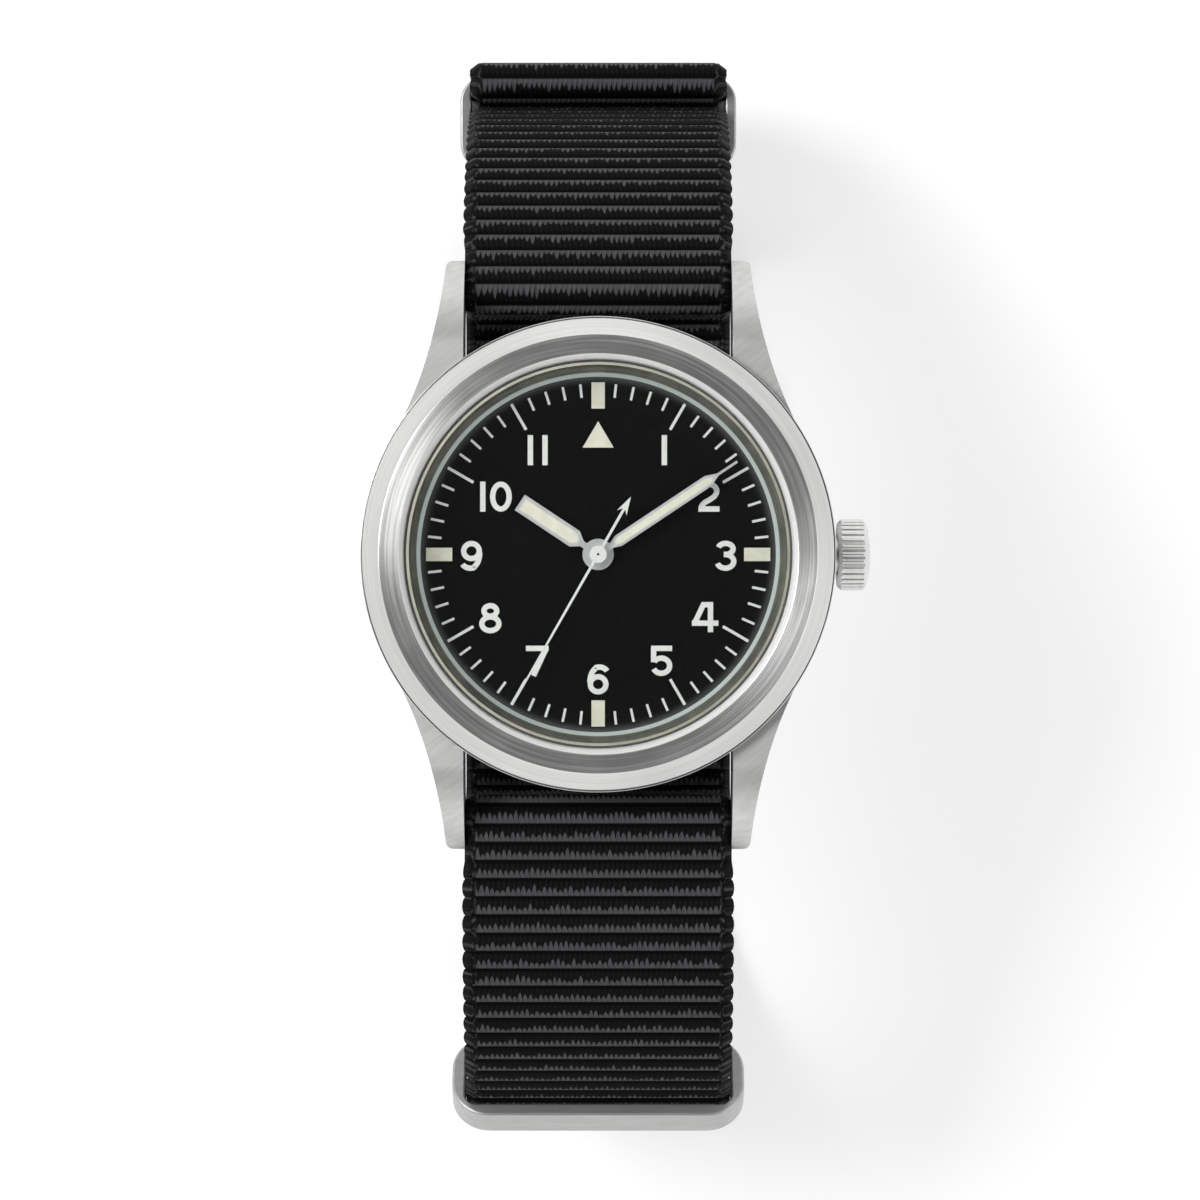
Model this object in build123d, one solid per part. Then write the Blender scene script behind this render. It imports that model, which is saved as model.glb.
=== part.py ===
from build123d import *
import math
import os

# Field watch on a one-length ribbed strap that is closed in a loop below the head.
# +Z is up through the dial, +Y is 12 o'clock and +X is the crown. The origin is on the
# outer face of the strap's flat bottom run, straight under the dial's centre.

# Shared fits
press_gap = 0.01
running_gap = 0.04
sliding_gap = 0.05
loose_gap = 0.15
overrun = 1.0

# Case, from the case back up
head_lift = 35.9
case_radius = 17.6
case_wall_height = 6.55
case_wall = 3.3
case_foot_inset = 1.3
case_foot_height = 1.1
case_lip_inset = 0.35
case_lip_height = 0.4
case_neck_inset = 2.1
case_neck_height = 0.8
back_inset = 1.6
back_flange_height = 0.55
back_boss_inset = 1.0
back_boss_height = 0.75
back_floor = 0.7
back_recess_inset = 1.0
back_notch_count = 6
back_notch_width = 1.6
back_notch_depth = 0.7
gasket_height = 0.3
gasket_wall = 0.6

# Lugs
lug_side_gap = 0.1
lug_tip_y = 22.3
lug_tip_width = 1.4
lug_waist_width = 2.4
lug_waist_y = 16.0
lug_root_width = 5.0
lug_root_y = 9.3
lug_corner_radius = 0.55
lug_drop = 0.15
lug_shoulder_y = 15.8
lug_crown_y = 19.6
lug_crown_drop = 1.35
lug_tip_height = 3.1
lug_tip_thickness = 2.7
lug_heel_y = 20.4
lug_throat_y = 16.4
lug_throat_lift = 1.5

# Bezel and crystal
bezel_overhang = 0.2
bezel_seat_gap = 0.02
bezel_flank_height = 0.68
bezel_top_height = 2.2
bezel_flank_width = 1.47
bezel_flat_width = 1.43
bezel_bevel_width = 0.35
bezel_bevel_drop = 0.25
crystal_gap = 0.1
crystal_wall = 0.75
crystal_edge_height = 1.7
crystal_shoulder = 0.4
crystal_dome = 1.4
crystal_thickness = 0.95
crystal_gasket_height = 0.3

# Dial and the ring round it
dial_lift = 5.3
dial_thickness = 0.4
dial_edge_gap = 0.4
dial_hole_radius = 0.85
dial_foot_radius = 0.35
dial_foot_places = ((8.6, -8.2), (-8.6, 8.2))
rehaut_inner_radius = 13.3
rehaut_top_radius = 13.8
lume_height = 0.06
block_inner_radius = 10.92
block_outer_radius = 12.88
block_width = 1.0
triangle_apex_radius = 9.97
triangle_base_radius = 8.0
triangle_width = 2.33

# Hands, each drawn towards 12 and then turned clockwise
hour_angle = 303.6
minute_angle = 56.3
seconds_angle = 209.7
hour_hand_lift = 0.3
hour_hand_thickness = 0.16
hour_hub_radius = 1.17
hour_neck_width = 0.47
hour_neck_end = 1.45
hour_shoulder = 2.1
hour_width = 1.38
hour_length = 7.03
hour_lume_width = 0.9
hour_lume_start = 1.82
hour_lume_rim = 0.24
minute_hand_lift = 0.74
minute_hand_thickness = 0.16
minute_hub_radius = 0.86
minute_neck_width = 0.49
minute_neck_end = 1.3
minute_shoulder = 1.8
minute_width = 0.91
minute_taper_start = 9.85
minute_taper_end = 10.74
minute_needle_width = 0.19
minute_length = 12.48
minute_lume_width = 0.52
minute_lume_start = 1.55
minute_lume_end = 10.2
seconds_hand_lift = 1.2
seconds_hand_thickness = 0.12
seconds_hub_radius = 0.64
seconds_collet_radius = 0.3
seconds_collet_height = 0.18
seconds_stem_width = 0.2
seconds_tip_width = 0.13
seconds_length = 12.9
seconds_tail = 4.94
spade_notch = 3.9
spade_barb = 3.55
spade_width = 0.82

# Crown and its tube
crown_axis_height = 3.5
crown_start_gap = 0.5
crown_length = 2.16
crown_dome = 0.32
crown_radius = 2.71
crown_chamfer = 0.3
crown_rib_count = 30
crown_rib_radius = 0.2
crown_bore_radius = 1.62
crown_bore_depth = 1.3
tube_radius = 1.3
tube_bore_radius = 0.75
tube_inner_reach = 2.4
tube_outer_reach = 1.3
crown_seal_length = 0.5
stem_socket_depth = 0.6

# Spring bars
bar_y = 20.2
bar_lift = 2.0
bar_radius = 0.9
bar_bore_radius = 0.6
bar_side_gap = 0.4
bar_lip = 0.12
tip_pin_radius = 0.4
tip_shoulder_radius = 0.55
tip_shoulder_length = 1.2
tip_reach = 0.75
bar_spring_radius = 0.36
bar_spring_wire = 0.16
bar_spring_pitch = 1.9

# Strap webbing and the loop that it lies in, seen from the crown's side as Y and Z
strap_width = 20.0
strap_thickness = 1.1
layer_gap = 0.04
side_y = 36.5
lower_bend_radius = 13.0
upper_bend_radius = 23.15
upper_bend_z = 17.5
under_case_bend_radius = 1.4
under_case_bend_lift = 0.7
left_bend_radius = 17.8
left_bend_y = -26.5
left_bend_z = 21.3
left_lower_radius = 20.0
tip_round = 6.5
tail_tip_z = 7.0
stub_share = 0.333
under_strap_low_angle = -15.0
under_strap_bend_radius = 6.0
under_strap_gap = 0.2
ring_stub_length = 9.0
hole_radius = 0.95
hole_pitch = 6.8
hole_first_y = -3.4
hole_count = 3
tail_hole_angles = (-80.0, -52.0, -24.0)

# Buckle
buckle_bar_y = 15.5
buckle_bar_z = 3.2
buckle_bar_radius = 0.75
front_bar_y = 6.7
front_bar_z = 1.4
front_bar_radius = 0.6
buckle_rail_gap = 0.25
buckle_rail_wall = 1.2
buckle_rear_eye = 1.35
buckle_front_eye = 0.85
lift_bend_radius = 2.0
lift_bend_reach = 3.7
tongue_width = 1.5
tongue_thickness = 0.6
tongue_overhang = 0.9
tongue_slot_start = 7.6
tongue_slot_end = 13.0

# Keeper rings
keeper_side_gap = 0.22
keeper_depth = 7.4
keeper_wall = 1.06
keeper_side_wall = 0.88
keeper_height = 2.4
keeper_corner = 2.0
keeper_inner_corner = 0.36
ring_corner = 3.0
ring_inner_corner = 0.9
keeper_edge = 0.2
upper_keeper_z = 19.4
lower_keeper_angle = -57.0
strap_ring_side_gap = 0.39
strap_ring_y = -44.3
strap_ring_z = 30.0
strap_ring_tilt = 50.0

# Movement: plates and bridges
plate_radius = 12.8
plate_lift = 4.0
plate_thickness = 0.7
plate_rim_width = 1.0
movement_ring_gap = 0.05
movement_ring_lift = 2.1
bridge_lift = 1.95
bridge_thickness = 0.55
bridge_reach = 12.5
foot_radius = 0.8
screw_head_radius = 0.6
screw_head_height = 0.4
screw_radius = 0.3
screw_depth = 1.9
screw_slot = 0.14
jewel_radius = 0.45
jewel_height = 0.3
jewel_bore_radius = 0.13
pivot_radius = 0.1
arbor_radius = 0.18

# Movement: tooth shape, as shares of the module and of the pitch
tooth_tip_share = 0.85
tooth_root_share = 1.25
tip_width_share = 0.1
root_width_share = 0.27

# Movement: going train, teeth and modules from the barrel to the escape wheel
barrel_teeth = 70
barrel_module = 0.12
barrel_height = 0.95
barrel_wall = 0.2
barrel_gear_height = 0.3
barrel_arbor_radius = 0.7
intermediate_pinion_teeth = 12
intermediate_teeth = 80
intermediate_module = 0.10
third_pinion_teeth = 10
third_teeth = 75
third_module = 0.09
fourth_pinion_teeth = 10
fourth_teeth = 70
fourth_module = 0.08
escape_pinion_teeth = 7
escape_teeth = 15
escape_radius = 2.0
escape_tooth_depth = 0.5
wheel_thickness = 0.15
layer_step = 0.1
rim_share = 0.88
hub_share = 0.22
spoke_share = 0.06
rake_share = 0.3
club_share = 0.12
barrel_angle = 40.5
barrel_distance = 7.9
third_angle = 138.0
escape_angle = 235.0
pallet_distance = 2.31
balance_reach = 2.75
pallet_half_angle = 30.0
pallet_clearance = 0.08
pallet_stone_width = 0.24
pallet_lever_length = 2.2
pallet_bridge_thickness = 0.2
pallet_bridge_reach = 2.4
pallet_bridge_share = 0.75
roller_pin_radius = 0.08
stud_radius = 0.2
balance_arm_angle = 20.0
balance_radius = 3.7
balance_rim_width = 0.32
balance_height = 0.2
hairspring_turns = 7
hairspring_step = 0.22
hairspring_wire = 0.05
mainspring_turns = 6
mainspring_step = 0.42
mainspring_wire = 0.14

# Movement: motion work under the dial
cannon_teeth = 12
minute_wheel_teeth = 36
cannon_module = 0.10
minute_pinion_teeth = 10
hour_wheel_teeth = 40
motion_angle = 200.0
cannon_bore_radius = 0.31
cannon_radius = 0.43
centre_tube_radius = 0.27
centre_tube_bore_radius = 0.14
hour_tube_wall = 0.2

# Movement: winding and setting
stem_radius = 0.4
stem_pilot_radius = 0.2
stem_pilot_start_x = 5.0
stem_pilot_end_x = 6.9
stem_groove_radius = 0.25
stem_groove_x = 10.4
stem_groove_width = 0.5
stem_slot_half_width = 1.65
stem_block_start_x = 5.6
stem_block_length = 0.8
stem_block_half_width = 0.7
pinion_start_x = 7.7
sliding_pinion_length = 1.1
winding_pinion_length = 0.95
pinion_radius = 1.5
pinion_teeth = 15
sliding_pinion_radius = 0.95
ratchet_teeth = 36
crown_wheel_teeth = 18
ratchet_module = 0.2
crown_wheel_lobe = 0.9
ratchet_drop = 0.1
ratchet_height = 0.4
pull_travel = 1.0
stem_clear_share = 0.83
setting_arm = 2.4
setting_lever_thickness = 0.2
click_place = (5.2, 10.2)
click_tip = (7.07, 9.09)
click_radius = 0.45
click_thickness = 0.3
click_spring_post = (1.9, 9.3)
click_spring_end = (4.4, 10.1)
click_spring_width = 0.25

# Radii, heights and places that follow from the sizes above
case_cavity_radius = case_radius - case_wall
case_foot_radius = case_radius - case_foot_inset
case_lip_radius = case_cavity_radius - case_lip_inset
case_neck_radius = case_radius - case_neck_inset
back_radius = case_radius - back_inset
back_boss_radius = back_radius - back_boss_inset
back_recess_radius = back_boss_radius - back_recess_inset
bezel_radius = case_radius + bezel_overhang
bezel_top_radius = bezel_radius - bezel_flank_width
bezel_inner_radius = bezel_top_radius - bezel_flat_width
bezel_bore_radius = bezel_inner_radius - bezel_bevel_width
crystal_radius = bezel_bore_radius - crystal_gap
dial_radius = case_cavity_radius - dial_edge_gap
crown_start_x = case_radius + crown_start_gap
lug_gap = strap_width + 2 * lug_side_gap
lug_tip_x = lug_gap / 2 + lug_tip_width
lug_waist_x = lug_gap / 2 + lug_waist_width
lug_root_x = lug_gap / 2 + lug_root_width
bar_half_length = lug_gap / 2 - bar_side_gap
keeper_width = strap_width + 2 * (keeper_side_gap + keeper_side_wall)
strap_ring_width = strap_width + 2 * (strap_ring_side_gap + keeper_wall)
tube_inner_x = case_radius - tube_inner_reach
tube_outer_x = case_radius + tube_outer_reach
case_bottom_z = head_lift + back_flange_height
case_top_z = case_bottom_z + case_wall_height
gasket_z = case_bottom_z + back_boss_height
dial_z = head_lift + dial_lift
dial_top_z = dial_z + dial_thickness
crystal_z = case_top_z + crystal_gasket_height
bezel_top_z = case_top_z + bezel_top_height
plate_z = head_lift + plate_lift
plate_top_z = plate_z + plate_thickness
bridge_z = head_lift + bridge_lift
bridge_top_z = bridge_z + bridge_thickness
ratchet_top_z = bridge_z - ratchet_drop
ratchet_z = ratchet_top_z - ratchet_height
crown_z = head_lift + crown_axis_height
bar_z = head_lift + bar_lift
upright = (Align.CENTER, Align.CENTER, Align.MIN)


# Shapes that several pieces share

def drum(radius, bottom, top, place=(0, 0)):
    """Upright cylinder between two heights."""
    return Pos(place[0], place[1], bottom) * Cylinder(radius, top - bottom, align=upright)


def collar(outer, inner, bottom, top, place=(0, 0)):
    """Upright ring between two heights."""
    return drum(outer, bottom, top, place) - drum(inner, bottom - overrun, top + overrun, place)


def rod(radius, start, end, y=0, z=0):
    """Cylinder along X between two places."""
    return Pos(start, y, z) * Rot(0, 90, 0) * Cylinder(radius, end - start, align=upright)


def block(low, high):
    """Box between its lowest and highest corners."""
    size = [high[i] - low[i] for i in range(3)]
    middle = [(high[i] + low[i]) / 2 for i in range(3)]
    return Pos(*middle) * Box(*size)


def lathe(start, *steps):
    """Solid turned about Z. A step is a corner (radius, z) or an arc (point on it, end)."""
    edges = []
    here = (start[0], 0, start[1])
    for step in steps + (start,):
        if isinstance(step[0], tuple):
            middle = (step[0][0], 0, step[0][1])
            there = (step[1][0], 0, step[1][1])
            edges.append(ThreePointArc(here, middle, there))
        else:
            there = (step[0], 0, step[1])
            edges.append(Line(here, there))
        here = there
    return revolve(Face(Wire(edges)), Axis.Z)


def plate(points, bottom, top):
    """Upright prism over a list of corners."""
    outline = Polyline(*[(x, y, bottom) for x, y in points], close=True)
    return extrude(Face(Wire(outline.edges())), top - bottom, dir=(0, 0, 1))


def capsule(first, second, radius, bottom, top):
    """Upright bar with round ends between two places."""
    along = math.degrees(math.atan2(second[1] - first[1], second[0] - first[0]))
    length = math.dist(first, second)
    middle = ((first[0] + second[0]) / 2, (first[1] + second[1]) / 2, bottom)
    web = Pos(*middle) * Rot(0, 0, along) * Box(length, 2 * radius, top - bottom, align=upright)
    return web + drum(radius, bottom, top, first) + drum(radius, bottom, top, second)


def polar(distance, angle, centre=(0, 0)):
    """Place at a distance and an angle in degrees from a centre."""
    turn = math.radians(angle)
    return (centre[0] + distance * math.cos(turn), centre[1] + distance * math.sin(turn))


def direction(first, second):
    """Angle in degrees from one place to another."""
    return math.degrees(math.atan2(second[1] - first[1], second[0] - first[0]))


def gear(teeth, module, bottom, top, place=(0, 0), tooth_angle=0.0):
    """Spur gear with one tooth at the given angle."""
    tip = module * (teeth / 2 + tooth_tip_share)
    root = module * (teeth / 2 - tooth_root_share)
    pitch = 360 / teeth
    points = []
    for index in range(teeth):
        middle = tooth_angle + index * pitch
        for radius, share in ((root, -root_width_share), (tip, -tip_width_share),
                              (tip, tip_width_share), (root, root_width_share)):
            points.append(polar(radius, middle + share * pitch, place))
    return plate(points, bottom, top)


def mesh_radius(module, teeth, other_teeth):
    """Distance between the axes of two meshed gears."""
    return module * (teeth + other_teeth) / 2


def gap_angle(angle, teeth):
    """Tooth angle that puts a gap of a gear at an angle."""
    return angle + 180 / teeth


# Strap path: a list of bends (y, z, radius, turn), turn +1 to the left, -1 to the right,
# joined by the straight runs that touch them. A bend of radius zero is an end.

def straight_run(first, second):
    """Start and end of the straight run between two bends, and its left side."""
    reach = math.hypot(second[0] - first[0], second[1] - first[1])
    offset = second[3] * second[2] - first[3] * first[2]
    lean = math.asin(max(-1.0, min(1.0, offset / reach)))
    heading = math.atan2(second[1] - first[1], second[0] - first[0]) - lean
    left = (-math.sin(heading), math.cos(heading))
    leave = [first[i] - first[3] * first[2] * left[i] for i in range(2)]
    arrive = [second[i] - second[3] * second[2] * left[i] for i in range(2)]
    return leave, arrive, left


def bend_arc(start, end, bend):
    """Arc of a bend between two points of the side view."""
    first = math.atan2(start[1] - bend[1], start[0] - bend[0])
    last = math.atan2(end[1] - bend[1], end[0] - bend[0])
    if bend[3] > 0 and last < first:
        last += 2 * math.pi
    if bend[3] < 0 and last > first:
        last -= 2 * math.pi
    radius = math.hypot(start[0] - bend[0], start[1] - bend[1])
    half = (first + last) / 2
    middle = (bend[0] + radius * math.cos(half), bend[1] + radius * math.sin(half))
    return ThreePointArc((0, *start), (0, *middle), (0, *end))


def web_edge(bends, offset):
    """Long edge of a strap's side view, at an offset to the left of its middle line."""
    edges = []
    previous = None
    for first, second in zip(bends, bends[1:]):
        leave, arrive, left = straight_run(first, second)
        start = [leave[i] + offset * left[i] for i in range(2)]
        end = [arrive[i] + offset * left[i] for i in range(2)]
        if previous and math.dist(previous, start) > press_gap / 10:
            edges.append(bend_arc(previous, start, first))
            previous = start
        if previous:
            start = previous
        if math.dist(start, end) > press_gap / 10:
            edges.append(Line((0, *start), (0, *end)))
            previous = end
        else:
            previous = start
    return edges


def webbing(bends, width, thickness):
    """Strap along a path of bends, with a constant thickness."""
    inner = web_edge(bends, thickness / 2)
    outer = web_edge(bends, -thickness / 2)
    caps = [Line(inner[0] @ 0, outer[0] @ 0), Line(inner[-1] @ 1, outer[-1] @ 1)]
    side = Face(Wire(inner + outer + caps))
    return extrude(side, width / 2, dir=(1, 0, 0), both=True)


def belt(bends, low_x, high_x):
    """Prism along X round a closed ring of bends."""
    loop = list(bends) + [bends[0], bends[1]]
    edges = web_edge(loop, 0)[1:]
    side = Face(Wire([edge.moved(Pos(low_x, 0, 0)) for edge in edges]))
    return extrude(side, high_x - low_x, dir=(1, 0, 0))


def spiral(start_radius, turns, step, wire, bottom, top, place):
    """Flat coil of half circles that step outwards."""
    x, y = place
    edges = {-1: [], 1: []}
    for side in edges:
        radius = start_radius
        centre = x
        for index in range(2 * turns):
            facing = 1 if index % 2 == 0 else -1
            reach = radius + side * wire / 2
            edges[side].append(ThreePointArc((centre + facing * reach, y, bottom),
                                             (centre, y + facing * reach, bottom),
                                             (centre - facing * reach, y, bottom)))
            centre += facing * step / 2
            radius += step / 2
    caps = [Line(edges[-1][0] @ 0, edges[1][0] @ 0), Line(edges[-1][-1] @ 1, edges[1][-1] @ 1)]
    return extrude(Face(Wire(edges[-1] + edges[1] + caps)), top - bottom, dir=(0, 0, 1))


# Case and its covers

def lug_side():
    """Side view of the two lugs on the 12 o'clock side, as a prism along X."""
    top = case_top_z - lug_drop
    shoulder = (lug_shoulder_y, top)
    crown_point = (lug_crown_y, top - lug_crown_drop)
    tip_top = (lug_tip_y, head_lift + lug_tip_height)
    tip_low = (lug_tip_y, head_lift + lug_tip_height - lug_tip_thickness)
    heel = (lug_heel_y, tip_low[1])
    throat = (lug_throat_y, head_lift + lug_throat_lift)
    edges = [Line((0, 0, top), (0, *shoulder)),
             ThreePointArc((0, *shoulder), (0, *crown_point), (0, *tip_top)),
             Line((0, *tip_top), (0, *tip_low)),
             Line((0, *tip_low), (0, *heel)),
             Line((0, *heel), (0, *throat)),
             Line((0, *throat), (0, 0, throat[1])),
             Line((0, 0, throat[1]), (0, 0, top))]
    return extrude(Face(Wire(edges)), case_radius, dir=(1, 0, 0), both=True)


def lug_plan():
    """Plan of the right lug on the 12 o'clock side, as an upright prism."""
    low = head_lift
    inner = lug_gap / 2
    edges = [Line((inner, lug_root_y, low), (inner, lug_tip_y, low)),
             Line((inner, lug_tip_y, low), (lug_tip_x, lug_tip_y, low)),
             ThreePointArc((lug_tip_x, lug_tip_y, low), (lug_waist_x, lug_waist_y, low),
                           (lug_root_x, lug_root_y, low)),
             Line((lug_root_x, lug_root_y, low), (inner, lug_root_y, low))]
    prism = extrude(Face(Wire(edges)), case_wall_height + overrun, dir=(0, 0, 1))
    tip = prism.edges().filter_by(Axis.Z).sort_by(Axis.Y)[-2:]
    return fillet(tip.sort_by(Axis.X)[-1], lug_corner_radius)


def mid_case():
    """Case ring with four lugs, bored for the movement, the crown tube and the spring bars."""
    wall_bottom = case_bottom_z + case_foot_height
    ring = lathe((0, case_bottom_z), (case_foot_radius, case_bottom_z), (case_radius, wall_bottom),
                 (case_radius, case_top_z), (0, case_top_z))
    lug = lug_side() & lug_plan()
    lugs = lug + mirror(lug, Plane.YZ)
    lugs = lugs + mirror(lugs, Plane.XZ)
    neck = drum(case_neck_radius, case_top_z - overrun, case_top_z + case_neck_height)
    body = ring + lugs + neck
    gasket_top = gasket_z + gasket_height
    body -= drum(back_boss_radius + press_gap, case_bottom_z - overrun, gasket_top)
    body -= drum(case_cavity_radius, case_bottom_z, case_top_z - case_lip_height)
    body -= drum(case_lip_radius, case_bottom_z, case_top_z + overrun)
    body -= drum(crystal_radius + press_gap, case_top_z, case_top_z + case_neck_height + overrun)
    body -= rod(tube_radius, 0, case_radius + overrun, z=crown_z)
    for side in (-1, 1):
        reach = bar_half_length + tip_reach + overrun / 2 + sliding_gap
        body -= rod(tip_pin_radius + sliding_gap, -reach, reach, side * bar_y, bar_z)
    return body


def case_back():
    """Screwed cover with a hollow inside and notches for the case key."""
    floor_z = head_lift + back_floor
    back = lathe((0, head_lift), (back_radius - back_notch_depth, head_lift),
                 (back_radius, case_bottom_z - press_gap), (back_boss_radius, case_bottom_z - press_gap),
                 (back_boss_radius, gasket_z), (back_recess_radius, gasket_z),
                 (back_recess_radius, floor_z), (0, floor_z))
    notch_inner = back_radius - back_notch_depth
    for index in range(back_notch_count):
        notch = block((notch_inner, -back_notch_width / 2, head_lift - overrun),
                      (back_radius + overrun, back_notch_width / 2, case_bottom_z - press_gap))
        back -= Rot(0, 0, index * 360 / back_notch_count) * notch
    return back


def case_back_gasket():
    return collar(back_boss_radius, back_boss_radius - gasket_wall, gasket_z, gasket_z + gasket_height)


def bezel():
    """Turned ring with a sloped flank, a flat top and a narrow inner bevel."""
    low = case_top_z + bezel_seat_gap
    recess = case_neck_radius + sliding_gap
    recess_z = case_top_z + case_neck_height + sliding_gap
    return lathe((recess, low), (bezel_radius, low), (bezel_radius, low + bezel_flank_height),
                 (bezel_top_radius, bezel_top_z), (bezel_inner_radius, bezel_top_z),
                 (bezel_bore_radius, bezel_top_z - bezel_bevel_drop), (bezel_bore_radius, recess_z),
                 (recess, recess_z))


def dome_point(radius, edge_radius, edge_z, rise):
    """Place on a dome that rises from an edge to its middle."""
    sphere = (edge_radius ** 2 + rise ** 2) / (2 * rise)
    return (radius, edge_z + rise - sphere + math.sqrt(sphere ** 2 - radius ** 2))


def crystal():
    """Domed clear cover with a skirt that stands on its gasket."""
    edge_z = crystal_z + crystal_edge_height
    shoulder_radius = crystal_radius - crystal_shoulder
    shoulder_z = edge_z + crystal_shoulder
    outer_middle = dome_point(shoulder_radius / 2, shoulder_radius, shoulder_z, crystal_dome)
    inner_radius = crystal_radius - crystal_wall
    inner_z = shoulder_z - crystal_thickness
    inner_middle = dome_point(inner_radius / 2, inner_radius, inner_z, crystal_dome)
    return lathe((inner_radius, crystal_z), (crystal_radius, crystal_z), (crystal_radius, edge_z),
                 (shoulder_radius, shoulder_z), (outer_middle, (0, shoulder_z + crystal_dome)),
                 (0, inner_z + crystal_dome), (inner_middle, (inner_radius, inner_z)))


def crystal_gasket():
    return collar(crystal_radius - running_gap, case_lip_radius, case_top_z, crystal_z)


def rehaut_ring():
    """Sloped ring between the dial and the crystal."""
    outer = case_cavity_radius - running_gap
    top = case_top_z - case_lip_height
    return lathe((rehaut_inner_radius, dial_top_z), (outer, dial_top_z), (outer, top),
                 (rehaut_top_radius, top))


# Crown, its tube and its seal

def crown():
    """Ribbed crown, hollow over the tube, with a domed end."""
    start = crown_chamfer
    rim = crown_radius - crown_rib_radius
    full = drum(rim + crown_rib_radius / 2, 0, crown_length + crown_dome)
    for index in range(crown_rib_count):
        full += drum(crown_rib_radius, 0, crown_length, polar(rim, index * 360 / crown_rib_count))
    cap = crown_radius - crown_chamfer
    middle = dome_point(cap / 2, cap, crown_length, crown_dome)
    envelope = lathe((0, 0), (cap, 0), (crown_radius, start), (crown_radius, crown_length - start),
                     (cap, crown_length), (middle, (0, crown_length + crown_dome)))
    body = (full & envelope) - drum(crown_bore_radius, -overrun, crown_bore_depth)
    body -= drum(stem_radius, 0, crown_bore_depth + stem_socket_depth)
    return Pos(crown_start_x, 0, crown_z) * Rot(0, 90, 0) * body


def crown_tube():
    tube = rod(tube_radius, tube_inner_x, tube_outer_x, z=crown_z)
    return tube - rod(tube_bore_radius, 0, tube_outer_x + overrun, z=crown_z)


def crown_gasket():
    start = crown_start_x + crown_bore_depth - crown_seal_length
    seal = rod(crown_bore_radius, start, start + crown_seal_length, z=crown_z)
    return seal - rod(tube_radius + running_gap, 0, start + overrun, z=crown_z)


# Dial and hands

def clockwise(piece, angle):
    return Rot(0, 0, -angle) * piece


def dial():
    disc = drum(dial_radius, dial_z, dial_top_z)
    for place in dial_foot_places:
        disc += drum(dial_foot_radius, plate_top_z - plate_thickness / 2, dial_z + dial_thickness / 2, place)
    return disc - drum(dial_hole_radius, dial_z - overrun, dial_top_z + overrun)


def dial_lume():
    """Raised blocks at 12, 3, 6 and 9, and the triangle below the 12 block."""
    top = dial_top_z + lume_height
    pieces = []
    for angle in range(0, 360, 90):
        bar = block((-block_width / 2, block_inner_radius, dial_top_z),
                    (block_width / 2, block_outer_radius, top))
        pieces.append(clockwise(bar, angle))
    half = triangle_width / 2
    pieces.append(plate([(-half, triangle_base_radius), (half, triangle_base_radius),
                         (0, triangle_apex_radius)], dial_top_z, top))
    return Compound(children=pieces)


def mirrored(points):
    """Outline of both sides of a hand from the points of its right side, hub first."""
    left = [(-x, y) for x, y in reversed(points) if x != 0]
    return points + left


def hour_window():
    half = hour_lume_width / 2
    return plate(mirrored([(hour_neck_width / 4, hour_lume_start), (half, hour_shoulder + hour_lume_rim / 2),
                           (half, hour_length - hour_lume_rim)]), hour_z, hour_z + hour_hand_thickness)


def hour_hand():
    neck = hour_neck_width / 2
    half = hour_width / 2
    blade = plate(mirrored([(neck, 0), (neck, hour_neck_end), (half, hour_shoulder), (half, hour_length)]),
                  hour_z, hour_z + hour_hand_thickness)
    hand = blade + drum(hour_hub_radius, hour_z, hour_z + hour_hand_thickness)
    hand -= hour_window()
    hand -= drum(hour_tube_radius, hour_z - overrun, hour_z + overrun)
    return clockwise(hand, hour_angle)


def hour_lume():
    return clockwise(hour_window(), hour_angle)


def minute_window():
    half = minute_lume_width / 2
    return plate(mirrored([(minute_neck_width / 4, minute_lume_start), (half, minute_shoulder),
                           (half, minute_taper_start), (minute_neck_width / 4, minute_lume_end)]),
                 minute_z, minute_z + minute_hand_thickness)


def minute_hand():
    neck = minute_neck_width / 2
    half = minute_width / 2
    needle = minute_needle_width / 2
    blade = plate(mirrored([(neck, 0), (neck, minute_neck_end), (half, minute_shoulder),
                            (half, minute_taper_start), (needle, minute_taper_end),
                            (needle, minute_length)]), minute_z, minute_z + minute_hand_thickness)
    hand = blade + drum(minute_hub_radius, minute_z, minute_z + minute_hand_thickness)
    hand -= minute_window()
    hand -= drum(cannon_radius, minute_z - overrun, minute_z + overrun)
    return clockwise(hand, minute_angle)


def minute_lume():
    return clockwise(minute_window(), minute_angle)


def seconds_hand():
    """Thin sweep hand with a spade on its tail and a collet on the arbor."""
    top = seconds_z + seconds_hand_thickness
    stem = seconds_stem_width / 2
    tip = seconds_tip_width / 2
    barb = spade_width / 2
    blade = plate(mirrored([(stem, -spade_notch), (stem, 0), (tip, seconds_length)]), seconds_z, top)
    spade = plate([(0, -seconds_tail), (barb, -spade_barb), (stem, -spade_notch),
                   (-stem, -spade_notch), (-barb, -spade_barb)], seconds_z, top)
    collet = drum(seconds_collet_radius, seconds_z - seconds_collet_height, seconds_z)
    hand = blade + spade + drum(seconds_hub_radius, seconds_z, top) + collet
    hand -= drum(pivot_radius, seconds_z - seconds_collet_height - overrun, top - press_gap)
    return clockwise(hand, seconds_angle)


# Spring bars: a tube, two sprung tips and a coil spring each

def both_sides(piece):
    return Compound(children=[piece, mirror(piece, Plane.XZ)])


def spring_bar_tubes():
    inside = bar_half_length - bar_lip
    bar = rod(bar_radius, -bar_half_length, bar_half_length, bar_y, bar_z)
    bar -= rod(bar_bore_radius, -inside, inside, bar_y, bar_z)
    bar -= rod(tip_pin_radius + running_gap, -bar_half_length - overrun, bar_half_length + overrun,
               bar_y, bar_z)
    return both_sides(bar)


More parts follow.
